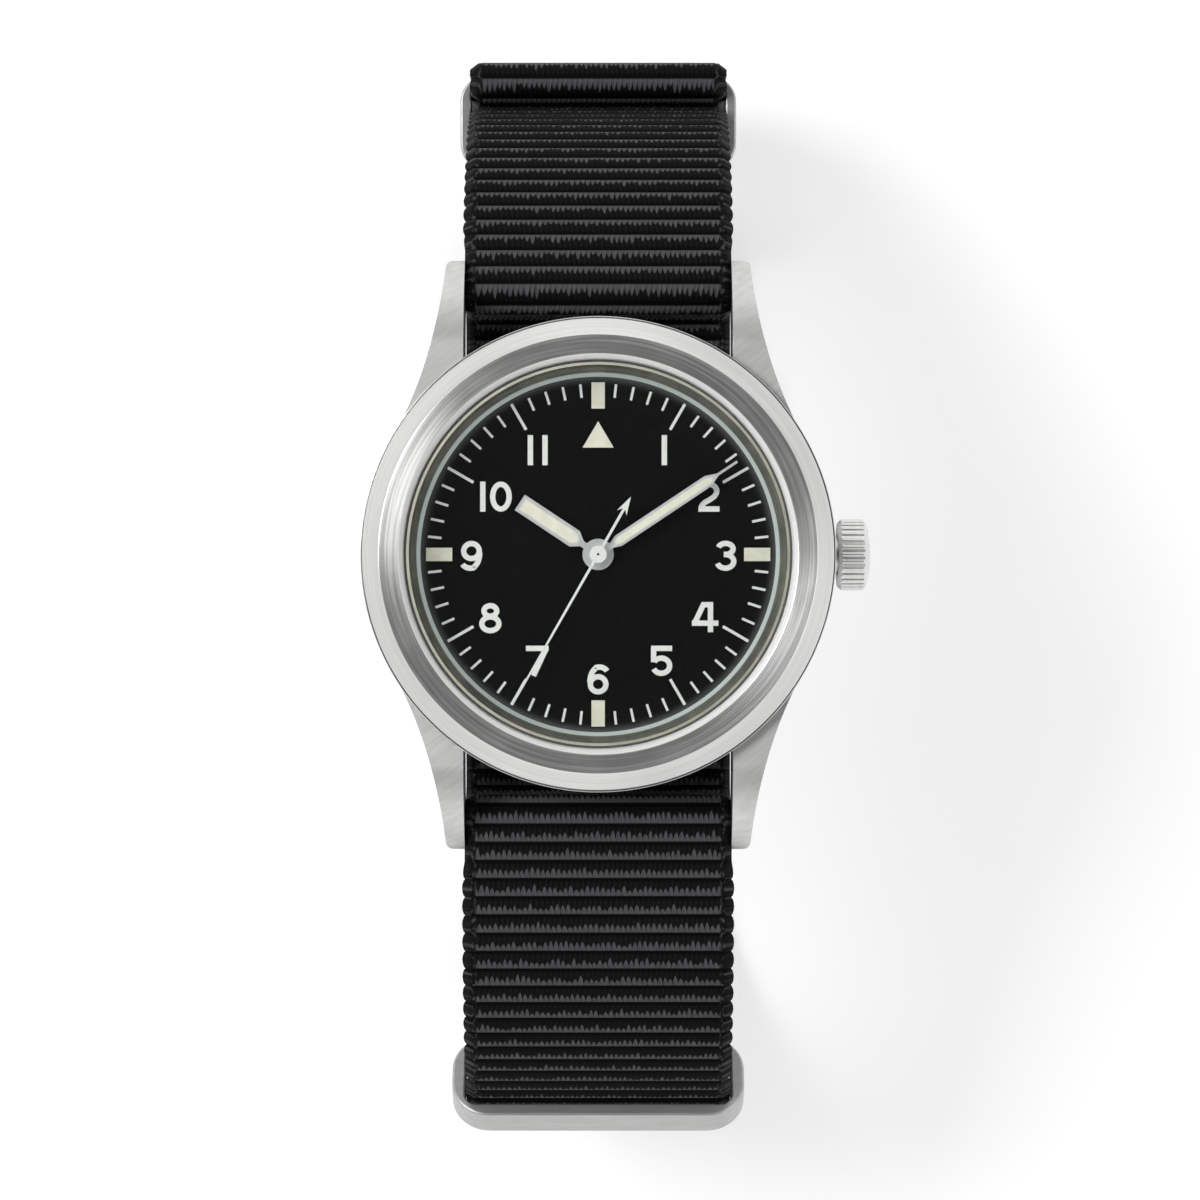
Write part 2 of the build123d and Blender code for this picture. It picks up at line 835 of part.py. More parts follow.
def spring_bar_tip(y_side, x_side):
    """Stepped pin that stands out of the end of a spring bar's tube."""
    shoulder_end = bar_half_length - bar_lip - press_gap
    tip = rod(tip_shoulder_radius, shoulder_end - tip_shoulder_length, shoulder_end, bar_y, bar_z)
    tip += rod(tip_pin_radius, shoulder_end - tip_shoulder_length / 2,
               lug_gap / 2 + tip_reach, bar_y, bar_z)
    if x_side < 0:
        tip = mirror(tip, Plane.YZ)
    if y_side < 0:
        tip = mirror(tip, Plane.XZ)
    return tip


def spring_bar_springs():
    """Coil spring between the two tips of each bar."""
    half = bar_half_length - bar_lip - tip_shoulder_length - bar_spring_wire
    path = Helix(bar_spring_pitch, 2 * half, bar_spring_radius)
    section = Plane(path @ 0, z_dir=path % 0) * Circle(bar_spring_wire / 2)
    coil = sweep(section, path=path, is_frenet=True)
    return both_sides(Pos(-half, bar_y, bar_z) * Rot(0, 90, 0) * coil)


# Strap. Each run lies inside or outside its neighbour by one layer.

layer = strap_thickness + layer_gap
middle_y = side_y - strap_thickness / 2
lower_bend_y = middle_y - lower_bend_radius
lower_bend_z = lower_bend_radius + layer + strap_thickness / 2
bar_wrap = bar_radius + layer_gap + strap_thickness / 2
under_case_y = bar_y - bar_wrap - under_case_bend_radius
under_case_z = head_lift + under_case_bend_lift
buckle_wrap = buckle_bar_radius + layer_gap + strap_thickness / 2
front_wrap = front_bar_radius + layer_gap + strap_thickness / 2
keeper_out_y = middle_y + layer + strap_thickness / 2 + layer_gap + keeper_wall
tail_fold_y = keeper_out_y - keeper_wall / 2
tail_fold_radius = keeper_wall / 2 + layer_gap + strap_thickness / 2
tail_fold_z = upper_keeper_z + keeper_height / 2 + layer_gap


def on_lower_bend(radius, angle):
    """Place on the bend at the bottom of the 12 o'clock side."""
    return polar(radius, angle, (lower_bend_y, lower_bend_z))


def main_strap_bends():
    """Bends of the main strap, from the stub at the buckle round to the tail's tip."""
    inner = lower_bend_radius - layer
    outer = lower_bend_radius + layer
    stub = on_lower_bend(inner, -90 + 90 * stub_share)
    lift_z = strap_thickness / 2 + lift_bend_radius
    return [(*stub, 0, 1),
            (lower_bend_y, lower_bend_z, inner, -1),
            (buckle_bar_y, buckle_bar_z, buckle_wrap, 1),
            (lower_bend_y, lower_bend_z, lower_bend_radius, 1),
            (middle_y - upper_bend_radius, upper_bend_z, upper_bend_radius, 1),
            (bar_y, bar_z, bar_wrap, 1),
            (under_case_y, under_case_z, under_case_bend_radius, -1),
            (-under_case_y, under_case_z, under_case_bend_radius, -1),
            (-bar_y, bar_z, bar_wrap, 1),
            (left_bend_y, left_bend_z, left_bend_radius, 1),
            (left_bend_y - left_bend_radius + left_lower_radius, strap_thickness / 2 + left_lower_radius,
             left_lower_radius, 1),
            (front_bar_y - lift_bend_reach, lift_z, lift_bend_radius, 1),
            (front_bar_y, front_bar_z, front_wrap, -1),
            (front_bar_y + lift_bend_reach, lift_z, lift_bend_radius, 1),
            (lower_bend_y, lower_bend_z, outer, 1),
            (tail_fold_y, tail_fold_z, tail_fold_radius, -1),
            (tail_fold_y + tail_fold_radius, tail_tip_z, 0, 1)]


def tail_tip_cutter():
    """What is cut from the square tail to leave a round tip."""
    half = strap_width / 2
    outer = tail_fold_y + tail_fold_radius
    inner = half - tip_round
    top = tail_tip_z + tip_round
    depth = strap_thickness / 2 + layer_gap
    corner = block((inner, outer - depth, tail_tip_z - overrun), (half + overrun, outer + depth, top))
    round_end = Pos(inner, outer, top) * Rot(90, 0, 0) * Cylinder(tip_round, strap_thickness * 2)
    corner -= round_end
    return corner + mirror(corner, Plane.YZ)


def main_strap():
    """One length of webbing with its buckle slots, a row of holes and a round tip."""
    strap = webbing(main_strap_bends(), strap_width, strap_thickness)
    slot = tongue_width / 2 + loose_gap
    strap -= block((-slot, tongue_slot_start, -overrun), (slot, tongue_slot_end, buckle_bar_z))
    eye = buckle_wrap + strap_thickness
    fold_low = lower_bend_z - lower_bend_radius - strap_thickness / 2 - layer_gap / 2
    strap -= block((-slot, buckle_bar_y - eye, fold_low), (slot, buckle_bar_y + eye, buckle_bar_z + eye))
    for index in range(hole_count):
        place = (0, hole_first_y - index * hole_pitch)
        strap -= Pos(0, place[1], 0) * drum(hole_radius, -overrun, strap_thickness + overrun)
    for angle in tail_hole_angles:
        low = lower_bend_radius + strap_thickness / 2 + layer_gap / 2
        hole = drum(hole_radius, low, low + strap_thickness + overrun)
        strap -= Pos(0, lower_bend_y, lower_bend_z) * Rot(angle - 90, 0, 0) * hole
    return strap - tail_tip_cutter()


def ring_frame(width, side_wall, corner, inner_corner, place, radial):
    """Flat ring with rounded corners; radial is its depth's direction as (y, z)."""
    plane = Plane(origin=(0, *place), x_dir=(1, 0, 0), z_dir=(0, -radial[1], radial[0]))
    inside = RectangleRounded(width - 2 * side_wall, keeper_depth - 2 * keeper_wall, inner_corner)
    outline = RectangleRounded(width, keeper_depth, corner) - inside
    ring = extrude(plane * outline, keeper_height / 2, both=True)
    return fillet(ring.edges(), keeper_edge)


def strap_ring_frame():
    """Middle of the strap ring, and the direction of its depth towards the head."""
    lean = math.radians(90 - strap_ring_tilt)
    inward = (math.cos(lean), -math.sin(lean))
    middle = [strap_ring_y + inward[0] * keeper_depth / 2, strap_ring_z + inward[1] * keeper_depth / 2]
    return middle, inward


def strap_ring():
    """Ring at the end of the under-strap, round the main strap at 6 o'clock."""
    middle, inward = strap_ring_frame()
    return ring_frame(strap_ring_width, keeper_wall, ring_corner, ring_inner_corner, middle, inward)


def upper_keeper():
    """Keeper that holds the folded tail high on the 12 o'clock side."""
    place = (keeper_out_y - keeper_depth / 2, upper_keeper_z)
    return ring_frame(keeper_width, keeper_side_wall, keeper_corner, keeper_inner_corner, place, (1, 0))


def lower_keeper():
    """Keeper close to the buckle."""
    turn = math.radians(lower_keeper_angle)
    outer = lower_bend_radius + layer + strap_thickness / 2 + layer_gap + keeper_wall
    place = on_lower_bend(outer - keeper_depth / 2, lower_keeper_angle)
    radial = (math.cos(turn), math.sin(turn))
    return ring_frame(keeper_width, keeper_side_wall, keeper_corner, keeper_inner_corner, place, radial)


def under_strap_bends():
    """Bends of the short strap under the case, from its sewn end to the stub at the ring."""
    inner_low = lower_bend_radius - layer
    inner_high = upper_bend_radius - layer
    high_y = middle_y - upper_bend_radius
    start = on_lower_bend(inner_low, under_strap_low_angle)
    run_z = under_case_z - under_case_bend_radius - strap_thickness - under_strap_gap
    bend_z = run_z - under_strap_bend_radius
    rise = bend_z - upper_bend_z
    bend_y = high_y + math.sqrt((inner_high - under_strap_bend_radius - layer_gap) ** 2 - rise ** 2)
    middle, inward = strap_ring_frame()
    shift = keeper_depth / 2 - keeper_wall / 2
    ring_bar = (middle[0] + inward[0] * shift, middle[1] + inward[1] * shift)
    wrap = math.hypot(keeper_wall, keeper_height) / 2 + strap_thickness / 2 + layer_gap
    last_bend = (-bend_y, bend_z, under_strap_bend_radius, 1)
    ring_bend = (*ring_bar, wrap, 1)
    leave, arrive, left = straight_run(last_bend, ring_bend)
    along = (left[1], -left[0])
    stub = [arrive[i] - along[i] * ring_stub_length + left[i] * layer for i in range(2)]
    return [(*start, 0, 1),
            (lower_bend_y, lower_bend_z, inner_low, 1),
            (high_y, upper_bend_z, inner_high, 1),
            (bend_y, bend_z, under_strap_bend_radius, 1),
            last_bend,
            ring_bend,
            (*stub, 0, 1)]


def under_strap():
    return webbing(under_strap_bends(), strap_width, strap_thickness)


# Buckle

def buckle_frame():
    """Two side rails and the front bar that the tongue rests on."""
    inner = strap_width / 2 + buckle_rail_gap
    outer = inner + buckle_rail_wall
    ends = [(buckle_bar_y, buckle_bar_z, buckle_rear_eye, 1), (front_bar_y, front_bar_z, buckle_front_eye, 1)]
    frame = belt(ends, inner, outer) + belt(ends, -outer, -inner)
    frame += rod(front_bar_radius, -inner - buckle_rail_wall / 2, inner + buckle_rail_wall / 2,
                 front_bar_y, front_bar_z)
    return frame - rod(buckle_bar_radius, -outer - overrun, outer + overrun, buckle_bar_y, buckle_bar_z)


def buckle_bar():
    outer = strap_width / 2 + buckle_rail_gap + buckle_rail_wall
    return rod(buckle_bar_radius, -outer, outer, buckle_bar_y, buckle_bar_z)


def buckle_tongue():
    """Flat tongue with an eye round the buckle's bar, through the tail to the front bar."""
    half = tongue_thickness / 2
    rest_z = front_bar_z - front_bar_radius - sliding_gap - half
    eye_low = buckle_bar_radius + sliding_gap + half
    path = [(front_bar_y - tongue_overhang, rest_z, 0, 1),
            (front_bar_y + tongue_overhang, rest_z + lift_bend_radius, lift_bend_radius, 1),
            (buckle_bar_y, buckle_bar_z, eye_low, 1),
            (buckle_bar_y + eye_low, buckle_bar_z, 0, 1)]
    tongue = webbing(path, tongue_width, tongue_thickness)
    eye = rod(eye_low + half, -tongue_width / 2, tongue_width / 2, buckle_bar_y, buckle_bar_z)
    bore = rod(buckle_bar_radius + sliding_gap, -tongue_width, tongue_width, buckle_bar_y, buckle_bar_z)
    return tongue + eye - bore


# Movement: where the axes stand

centre = (0, 0)
barrel_place = polar(barrel_distance, barrel_angle)
third_place = polar(mesh_radius(third_module, third_teeth, fourth_pinion_teeth), third_angle)
escape_place = polar(mesh_radius(fourth_module, fourth_teeth, escape_pinion_teeth), escape_angle)
pallet_place = polar(pallet_distance, escape_angle, escape_place)
balance_place = polar(balance_reach, escape_angle, pallet_place)
motion_place = polar(mesh_radius(cannon_module, cannon_teeth, minute_wheel_teeth), motion_angle)


def meeting_place(first, first_reach, second, second_reach):
    """Place at two given distances from two others, on the left of the line between them."""
    span = math.dist(first, second)
    along = (first_reach ** 2 - second_reach ** 2 + span ** 2) / (2 * span)
    aside = math.sqrt(max(0, first_reach ** 2 - along ** 2))
    angle = math.radians(direction(first, second))
    return (first[0] + along * math.cos(angle) - aside * math.sin(angle),
            first[1] + along * math.sin(angle) + aside * math.cos(angle))


intermediate_place = meeting_place(
    third_place, mesh_radius(intermediate_module, intermediate_teeth, third_pinion_teeth),
    barrel_place, mesh_radius(barrel_module, barrel_teeth, intermediate_pinion_teeth))
crown_wheel_reach = mesh_radius(ratchet_module, ratchet_teeth, crown_wheel_teeth)
crown_wheel_x = barrel_place[0] + math.sqrt(crown_wheel_reach ** 2 - barrel_place[1] ** 2)
crown_wheel_place = (crown_wheel_x, 0)
setting_pivot = (stem_groove_x + pull_travel / 2, math.sqrt(setting_arm ** 2 - (pull_travel / 2) ** 2))

# Movement: layers of the train between the bridges and the main plate
barrel_z = bridge_top_z + layer_step
barrel_top_z = barrel_z + barrel_height
fourth_z = barrel_z + 2 * layer_step + wheel_thickness
third_z = fourth_z + wheel_thickness + 2 * layer_step + layer_step / 2
balance_z = fourth_z - layer_step
intermediate_z = plate_z - 2 * wheel_thickness
escape_z = plate_z - 3 * wheel_thickness
hour_z = dial_top_z + hour_hand_lift
minute_z = dial_top_z + minute_hand_lift
seconds_z = dial_top_z + seconds_hand_lift
hour_tube_radius = cannon_radius + running_gap + hour_tube_wall


def arbor(place, bottom, top, lower_pivot, upper_pivot):
    """Wheel staff with a thin pivot at each end."""
    return drum(arbor_radius, bottom, top, place) + drum(pivot_radius, lower_pivot, upper_pivot, place)


def pivots(place):
    """Staff that reaches from a bridge to the main plate."""
    return arbor(place, bridge_top_z + sliding_gap, plate_z - sliding_gap, bridge_z + sliding_gap,
                 plate_z + jewel_height + sliding_gap)


def wheel(teeth, module, bottom, place, tooth_angle):
    """Thin wheel with four spokes."""
    top = bottom + wheel_thickness
    rim = module * (teeth / 2 - tooth_root_share)
    inner = rim * rim_share
    full = gear(teeth, module, bottom, top, place, tooth_angle)
    gap = collar(inner, rim * hub_share, bottom, top, place)
    for index in range(2):
        spoke = block((-inner, -rim * spoke_share, bottom - overrun),
                      (inner, rim * spoke_share, top + overrun))
        gap -= Pos(*place, 0) * Rot(0, 0, index * 90) * spoke
    return full - gap


def barrel():
    """Drum with its lid and great wheel, hollow for the mainspring."""
    angle = direction(barrel_place, intermediate_place)
    root = barrel_module * (barrel_teeth / 2 - tooth_root_share)
    teeth = gear(barrel_teeth, barrel_module, barrel_z, barrel_z + barrel_gear_height, barrel_place, angle)
    body = teeth + drum(root, barrel_z, barrel_top_z, barrel_place)
    body -= drum(root - barrel_wall, barrel_z + barrel_wall, barrel_top_z - barrel_wall, barrel_place)
    return body - drum(barrel_arbor_radius / 2 + running_gap, barrel_z - overrun, barrel_top_z + overrun,
                       barrel_place)


def barrel_arbor():
    """Arbor through the barrel that carries the ratchet wheel."""
    inner = drum(barrel_arbor_radius, barrel_z + barrel_wall + sliding_gap,
                 barrel_top_z - barrel_wall - sliding_gap, barrel_place)
    return inner + drum(barrel_arbor_radius / 2, ratchet_top_z, plate_z + jewel_height, barrel_place)


def mainspring():
    """Coiled ribbon between the arbor and the barrel's wall."""
    low = barrel_z + barrel_wall + sliding_gap
    start = barrel_arbor_radius + mainspring_wire / 2 + sliding_gap
    return spiral(start, mainspring_turns, mainspring_step, mainspring_wire, low,
                  barrel_top_z - barrel_wall - sliding_gap, barrel_place)


def intermediate_wheel():
    pinion_angle = gap_angle(direction(intermediate_place, barrel_place), intermediate_pinion_teeth)
    pinion_top = barrel_z + barrel_gear_height + layer_step
    pinion = gear(intermediate_pinion_teeth, barrel_module, barrel_z, pinion_top,
                  intermediate_place, pinion_angle)
    disc = wheel(intermediate_teeth, intermediate_module, intermediate_z, intermediate_place,
                 direction(intermediate_place, third_place))
    return disc + pinion + pivots(intermediate_place)


def third_wheel():
    pinion_angle = gap_angle(direction(third_place, intermediate_place), third_pinion_teeth)
    pinion = gear(third_pinion_teeth, intermediate_module, intermediate_z - layer_step,
                  intermediate_z + wheel_thickness + layer_step, third_place, pinion_angle)
    disc = wheel(third_teeth, third_module, third_z, third_place, direction(third_place, centre))
    return disc + pinion + pivots(third_place)


def seconds_wheel():
    """Fourth wheel, whose long arbor carries the seconds hand."""
    pinion_angle = gap_angle(third_angle, fourth_pinion_teeth)
    pinion = gear(fourth_pinion_teeth, third_module, third_z - layer_step / 2,
                  third_z + wheel_thickness + layer_step / 2, centre, pinion_angle)
    disc = wheel(fourth_teeth, fourth_module, fourth_z, centre, escape_angle)
    staff = arbor(centre, bridge_top_z + sliding_gap, plate_z - sliding_gap, bridge_z + sliding_gap,
                  seconds_z + seconds_hand_thickness - press_gap)
    return disc + pinion + staff


def escape_wheel():
    """Fifteen-tooth wheel with raked teeth."""
    pinion_angle = gap_angle(escape_angle + 180, escape_pinion_teeth)
    pinion = gear(escape_pinion_teeth, fourth_module, fourth_z - layer_step,
                  fourth_z + wheel_thickness + layer_step, escape_place, pinion_angle)
    root = escape_radius - escape_tooth_depth
    pitch = 360 / escape_teeth
    points = []
    for index in range(escape_teeth):
        start = escape_angle + index * pitch
        points.append(polar(root, start - rake_share * pitch, escape_place))
        points.append(polar(escape_radius, start, escape_place))
        points.append(polar(escape_radius, start + club_share * pitch, escape_place))
        points.append(polar(root, start, escape_place))
    disc = plate(points, escape_z, escape_z + wheel_thickness)
    return disc + pinion + pivots(escape_place)


def pallet_fork():
    """Lever with two pallet stones at the escape wheel and a notch at the balance."""
    top = escape_z + wheel_thickness
    fork_end = polar(pallet_lever_length, escape_angle, pallet_place)
    lever = capsule(pallet_place, fork_end, pallet_stone_width / 2, escape_z, top)
    notch = drum(roller_pin_radius + sliding_gap, escape_z - overrun, top + overrun, fork_end)
    for side in (-1, 1):
        angle = escape_angle + side * pallet_half_angle
        tip = polar(escape_radius + pallet_clearance, angle, escape_place)
        tail = polar(escape_radius + pallet_clearance + 2 * pallet_stone_width, angle, escape_place)
        lever += capsule(pallet_place, tail, pallet_stone_width / 2, escape_z, top)
        lever += capsule(tail, polar(escape_radius + pallet_clearance + pallet_stone_width / 2, angle,
                                     escape_place), pallet_stone_width / 2, escape_z, top)
        horn = polar(2 * roller_pin_radius, escape_angle + side * 90, fork_end)
        root = polar(pallet_lever_length - 2 * pallet_stone_width, escape_angle, pallet_place)
        lever += capsule(root, horn, pallet_stone_width / 3, escape_z, top)
    staff = arbor(pallet_place, escape_z - sliding_gap, plate_z - sliding_gap, pallet_bridge_z + sliding_gap,
                  plate_z + jewel_height + sliding_gap)
    return (lever - notch) + staff


pallet_bridge_top_z = escape_z - layer_step - sliding_gap
pallet_bridge_z = pallet_bridge_top_z - pallet_bridge_thickness


def balance_wheel():
    """Rim with two arms on its staff, and the roller pin that meets the fork."""
    top = balance_z + balance_height
    rim = collar(balance_radius, balance_radius - balance_rim_width, balance_z, top, balance_place)
    arm = Pos(*balance_place, balance_z) * Rot(0, 0, balance_arm_angle) * Box(
        2 * balance_radius - balance_rim_width, balance_rim_width, wheel_thickness, align=upright)
    pin_place = polar(balance_reach - pallet_lever_length, escape_angle + 180, balance_place)
    pin = drum(roller_pin_radius, balance_z, escape_z - sliding_gap, pin_place)
    roller = capsule(balance_place, pin_place, roller_pin_radius, balance_z, top)
    staff = arbor(balance_place, hairspring_z - sliding_gap, plate_z - sliding_gap, bridge_z + sliding_gap,
                  plate_z + jewel_height + sliding_gap)
    return rim + arm + roller + pin + staff


hairspring_z = bridge_top_z + sliding_gap


def hairspring():
    """Flat coil under the balance cock, round the balance staff."""
    start = arbor_radius + hairspring_wire / 2 + running_gap
    return spiral(start, hairspring_turns, hairspring_step, hairspring_wire, hairspring_z,
                  balance_z - sliding_gap, balance_place)


# Movement: plates, bridges, screws and jewels

def jewel_hole(place, low):
    return drum(jewel_radius, low, low + jewel_height, place)


plate_jewel_places = (third_place, escape_place, pallet_place, balance_place, intermediate_place)
train_jewel_places = (centre, third_place, escape_place)


def main_plate():
    """Round plate with its rim, centre tube, pivot holes and a slot for the winding stem."""
    body = drum(plate_radius, plate_z, plate_top_z)
    body += collar(plate_radius, plate_radius - plate_rim_width, plate_top_z - plate_thickness / 2, dial_z)
    reach = plate_radius + overrun
    slot_start = stem_block_start_x + stem_block_length + sliding_gap
    body -= block((slot_start, -stem_slot_half_width, plate_z - overrun),
                  (reach, stem_slot_half_width, dial_z + overrun))
    stem_block = block((stem_block_start_x, -stem_block_half_width, crown_z - 2 * stem_pilot_radius),
                       (stem_block_start_x + stem_block_length, stem_block_half_width,
                        plate_z + plate_thickness / 2))
    body += stem_block
    body -= rod(stem_pilot_radius + running_gap, 0, slot_start + overrun, z=crown_z)
    for place in plate_jewel_places:
        body -= jewel_hole(place, plate_z)
        body -= drum(arbor_radius, plate_z, plate_z + jewel_height + loose_gap, place)
    body -= drum(barrel_arbor_radius / 2 + running_gap, plate_z - overrun,
                 plate_z + jewel_height + loose_gap, barrel_place)
    body += drum(centre_tube_radius, plate_z, minute_z)
    body -= drum(centre_tube_bore_radius, plate_z - overrun, minute_z + overrun)
    body -= drum(arbor_radius + running_gap, plate_z - overrun, plate_top_z + overrun, motion_place)
    for place in dial_foot_places:
        body -= drum(dial_foot_radius + running_gap, plate_z - overrun, plate_top_z + overrun, place)
    return body


def bridge(points, feet, holes):
    """Bridge plate inside the movement's edge, with feet that stand on the main plate."""
    body = plate(points, bridge_z, bridge_top_z) & drum(bridge_reach, bridge_z, bridge_top_z)
    for place in feet:
        body += drum(foot_radius, bridge_z, plate_z, place)
        body -= drum(screw_radius, bridge_z - overrun, bridge_z + screw_depth, place)
    for place, radius in holes:
        body -= drum(radius, bridge_z - overrun, bridge_top_z + overrun, place)
    return body


barrel_feet = ((11.35, 2.95), (0.6, 11.3))
train_feet = ((-4.5, 9.5), (-10.8, 1.2), (3.55, -3.0))
cock_foot = (-9.9, -5.6)
cock_half_width = 1.2
bridge_split_x = -1.5


def barrel_bridge():
    edge = pinion_radius * stem_clear_share
    points = [(bridge_split_x + loose_gap, bridge_reach), (bridge_split_x + loose_gap, third_place[1] + edge),
              (edge + foot_radius, edge), (bridge_reach, edge), (bridge_reach, bridge_reach)]
    holes = [(barrel_place, barrel_arbor_radius / 2 + running_gap),
             (intermediate_place, pivot_radius + running_gap),
             (crown_wheel_place, arbor_radius * 2), (click_place, arbor_radius + running_gap)]
    lobe_start = (crown_wheel_x, edge + crown_wheel_lobe)
    lobe = capsule(lobe_start, crown_wheel_place, crown_wheel_lobe, bridge_z, bridge_top_z)
    body = bridge(points, barrel_feet, holes) + lobe
    return body - drum(arbor_radius * 2, bridge_z - overrun, bridge_top_z + overrun, crown_wheel_place)


def train_bridge():
    edge = pinion_radius * stem_clear_share
    low = train_feet[2][1] - foot_radius - loose_gap
    right = train_feet[2][0] + foot_radius + loose_gap
    points = [(bridge_split_x, bridge_reach), (bridge_split_x, third_place[1] + edge - loose_gap),
              (edge, edge - loose_gap), (right, train_feet[2][1] + foot_radius), (right, low),
              (escape_place[0] - foot_radius, low), (train_feet[1][0], train_feet[1][1] - 2 * foot_radius),
              (-bridge_reach, train_feet[1][1] - 2 * foot_radius), (-bridge_reach, bridge_reach)]
    holes = [(place, jewel_radius) for place in train_jewel_places]
    return bridge(points, train_feet, holes)


def balance_cock():
    """Cock over the balance, with the stud that holds the hairspring's outer end."""
    reach = arbor_radius + hairspring_wire + running_gap + hairspring_step * (hairspring_turns + 1 / 2)
    stud_place = (balance_place[0] + reach + stud_radius, balance_place[1])
    body = capsule(balance_place, cock_foot, cock_half_width, bridge_z, bridge_top_z)
    body += capsule(balance_place, stud_place, stud_radius, bridge_z, bridge_top_z)
    body += drum(stud_radius, bridge_z, balance_z - sliding_gap, stud_place)
    body += drum(foot_radius, bridge_z, plate_z, cock_foot)
    body -= drum(screw_radius, bridge_z - overrun, bridge_z + screw_depth, cock_foot)
    return body - drum(jewel_radius, bridge_z - overrun, bridge_top_z + overrun, balance_place)


def pallet_bridge():
    """Thin bridge over the pallet fork, on two feet."""
    feet = [polar(pallet_bridge_reach, escape_angle + side * 90, pallet_place) for side in (-1, 1)]
    body = capsule(feet[0], feet[1], foot_radius * pallet_bridge_share, pallet_bridge_z, pallet_bridge_top_z)
    for place in feet:
        body += drum(foot_radius * pallet_bridge_share, pallet_bridge_z, plate_z, place)
    return body - drum(pivot_radius + running_gap, pallet_bridge_z - overrun, pallet_bridge_top_z + overrun,
                       pallet_place)


def bridge_screws():
    """Slotted screws through the bridge feet, and the shouldered one that holds the crown wheel."""
    screws = []
    for place in barrel_feet + train_feet + (cock_foot,):
        screw = drum(screw_head_radius, bridge_z - screw_head_height, bridge_z, place)
        screw += drum(screw_radius, bridge_z - screw_head_height, bridge_z + screw_depth, place)
        cut = screw_head_height / 2
        slot_low = (-screw_head_radius, -screw_slot / 2, bridge_z - 2 * screw_head_height)
        slot_high = (screw_head_radius, screw_slot / 2, bridge_z - cut)
        screw -= Pos(*place, 0) * block(slot_low, slot_high)
        screws.append(screw)
    head_z = ratchet_z - sliding_gap
    shouldered = drum(arbor_radius * 2, head_z, bridge_top_z, crown_wheel_place)
    shouldered += drum(screw_head_radius, head_z - screw_head_height / 2, head_z, crown_wheel_place)
    return Compound(children=screws + [shouldered])


def jewels():
    """Pressed bearing stones of the plate, the train bridge and the cock."""
    stones = []
    for place in plate_jewel_places:
        stones.append(collar(jewel_radius, jewel_bore_radius, plate_z, plate_z + jewel_height, place))
    low = bridge_z + (bridge_thickness - jewel_height) / 2
    for place in train_jewel_places + (balance_place,):
        stones.append(collar(jewel_radius, jewel_bore_radius, low, low + jewel_height, place))
    return Compound(children=stones)


# Movement: motion work

def cannon_pinion():
    bottom = plate_top_z + sliding_gap
    teeth = gear(cannon_teeth, cannon_module, bottom, bottom + wheel_thickness, centre, motion_angle)
    body = teeth + drum(cannon_radius, bottom, minute_z + minute_hand_thickness)
    return body - drum(cannon_bore_radius, bottom - overrun, minute_z + overrun)


def minute_wheel():
    bottom = plate_top_z + sliding_gap
    top = bottom + wheel_thickness
    angle = gap_angle(motion_angle + 180, minute_wheel_teeth)
    pinion_angle = gap_angle(motion_angle + 180, minute_pinion_teeth)
    body = gear(minute_wheel_teeth, cannon_module, bottom, top, motion_place, angle)
    body += gear(minute_pinion_teeth, hour_module, top, dial_z - 2 * sliding_gap, motion_place, pinion_angle)
    return body + drum(arbor_radius, plate_z + sliding_gap, top, motion_place)


hour_module = 2 * math.dist(centre, motion_place) / (minute_pinion_teeth + hour_wheel_teeth)


def hour_wheel():
    bottom = plate_top_z + 2 * sliding_gap + wheel_thickness + layer_step / 2
    teeth = gear(hour_wheel_teeth, hour_module, bottom, bottom + wheel_thickness, centre, motion_angle)
    body = teeth + drum(hour_tube_radius, bottom, hour_z + hour_hand_thickness)
    return body - drum(cannon_radius + running_gap, bottom - overrun, hour_z + overrun)


def movement_ring():
    """Spacer between the movement and the case, with a hole for the stem."""
    ring = collar(case_cavity_radius - movement_ring_gap, plate_radius + movement_ring_gap,
                  head_lift + movement_ring_lift, dial_z)
    return ring - rod(tube_bore_radius, 0, case_radius, z=crown_z)


# Movement: winding and setting

def winding_stem():
    end = crown_start_x + crown_bore_depth + stem_socket_depth
    stem = rod(stem_radius, stem_pilot_end_x, end, z=crown_z)
    half = stem_groove_width / 2
    groove = rod(stem_radius + overrun, stem_groove_x - half, stem_groove_x + half, z=crown_z)
    stem -= groove
    stem += rod(stem_groove_radius, stem_groove_x - stem_groove_width, stem_groove_x + stem_groove_width,
                z=crown_z)
    return stem + rod(stem_pilot_radius, stem_pilot_start_x, stem_pilot_end_x + half, z=crown_z)


def toothed_sleeve(start, length, radius):
    """Toothed sleeve that is loose along the stem."""
    profile = gear(pinion_teeth, radius / (pinion_teeth / 2 + tooth_tip_share), 0, length)
    sleeve = Pos(start, 0, crown_z) * Rot(0, 90, 0) * profile
    return sleeve - rod(stem_radius + running_gap, start - overrun, start + length + overrun, z=crown_z)


def sliding_pinion():
    sleeve = toothed_sleeve(pinion_start_x, sliding_pinion_length, sliding_pinion_radius)
    third = sliding_pinion_length / 3
    groove = rod(sliding_pinion_radius + overrun, pinion_start_x + third, pinion_start_x + 2 * third,
                 z=crown_z)
    neck = rod(sliding_pinion_radius * 2 / 3, pinion_start_x, pinion_start_x + sliding_pinion_length,
               z=crown_z)
    neck -= rod(stem_radius + running_gap, 0, pinion_start_x + 2 * sliding_pinion_length, z=crown_z)
    return (sleeve - groove) + neck


def winding_pinion():
    start = pinion_start_x + sliding_pinion_length + sliding_gap
    return toothed_sleeve(start, winding_pinion_length, pinion_radius)


def crown_wheel():
    disc = gear(crown_wheel_teeth, ratchet_module, ratchet_z, ratchet_top_z, crown_wheel_place,
                direction(crown_wheel_place, barrel_place))
    return disc - drum(arbor_radius * 2 + running_gap, ratchet_z - overrun, ratchet_top_z + overrun,
                       crown_wheel_place)


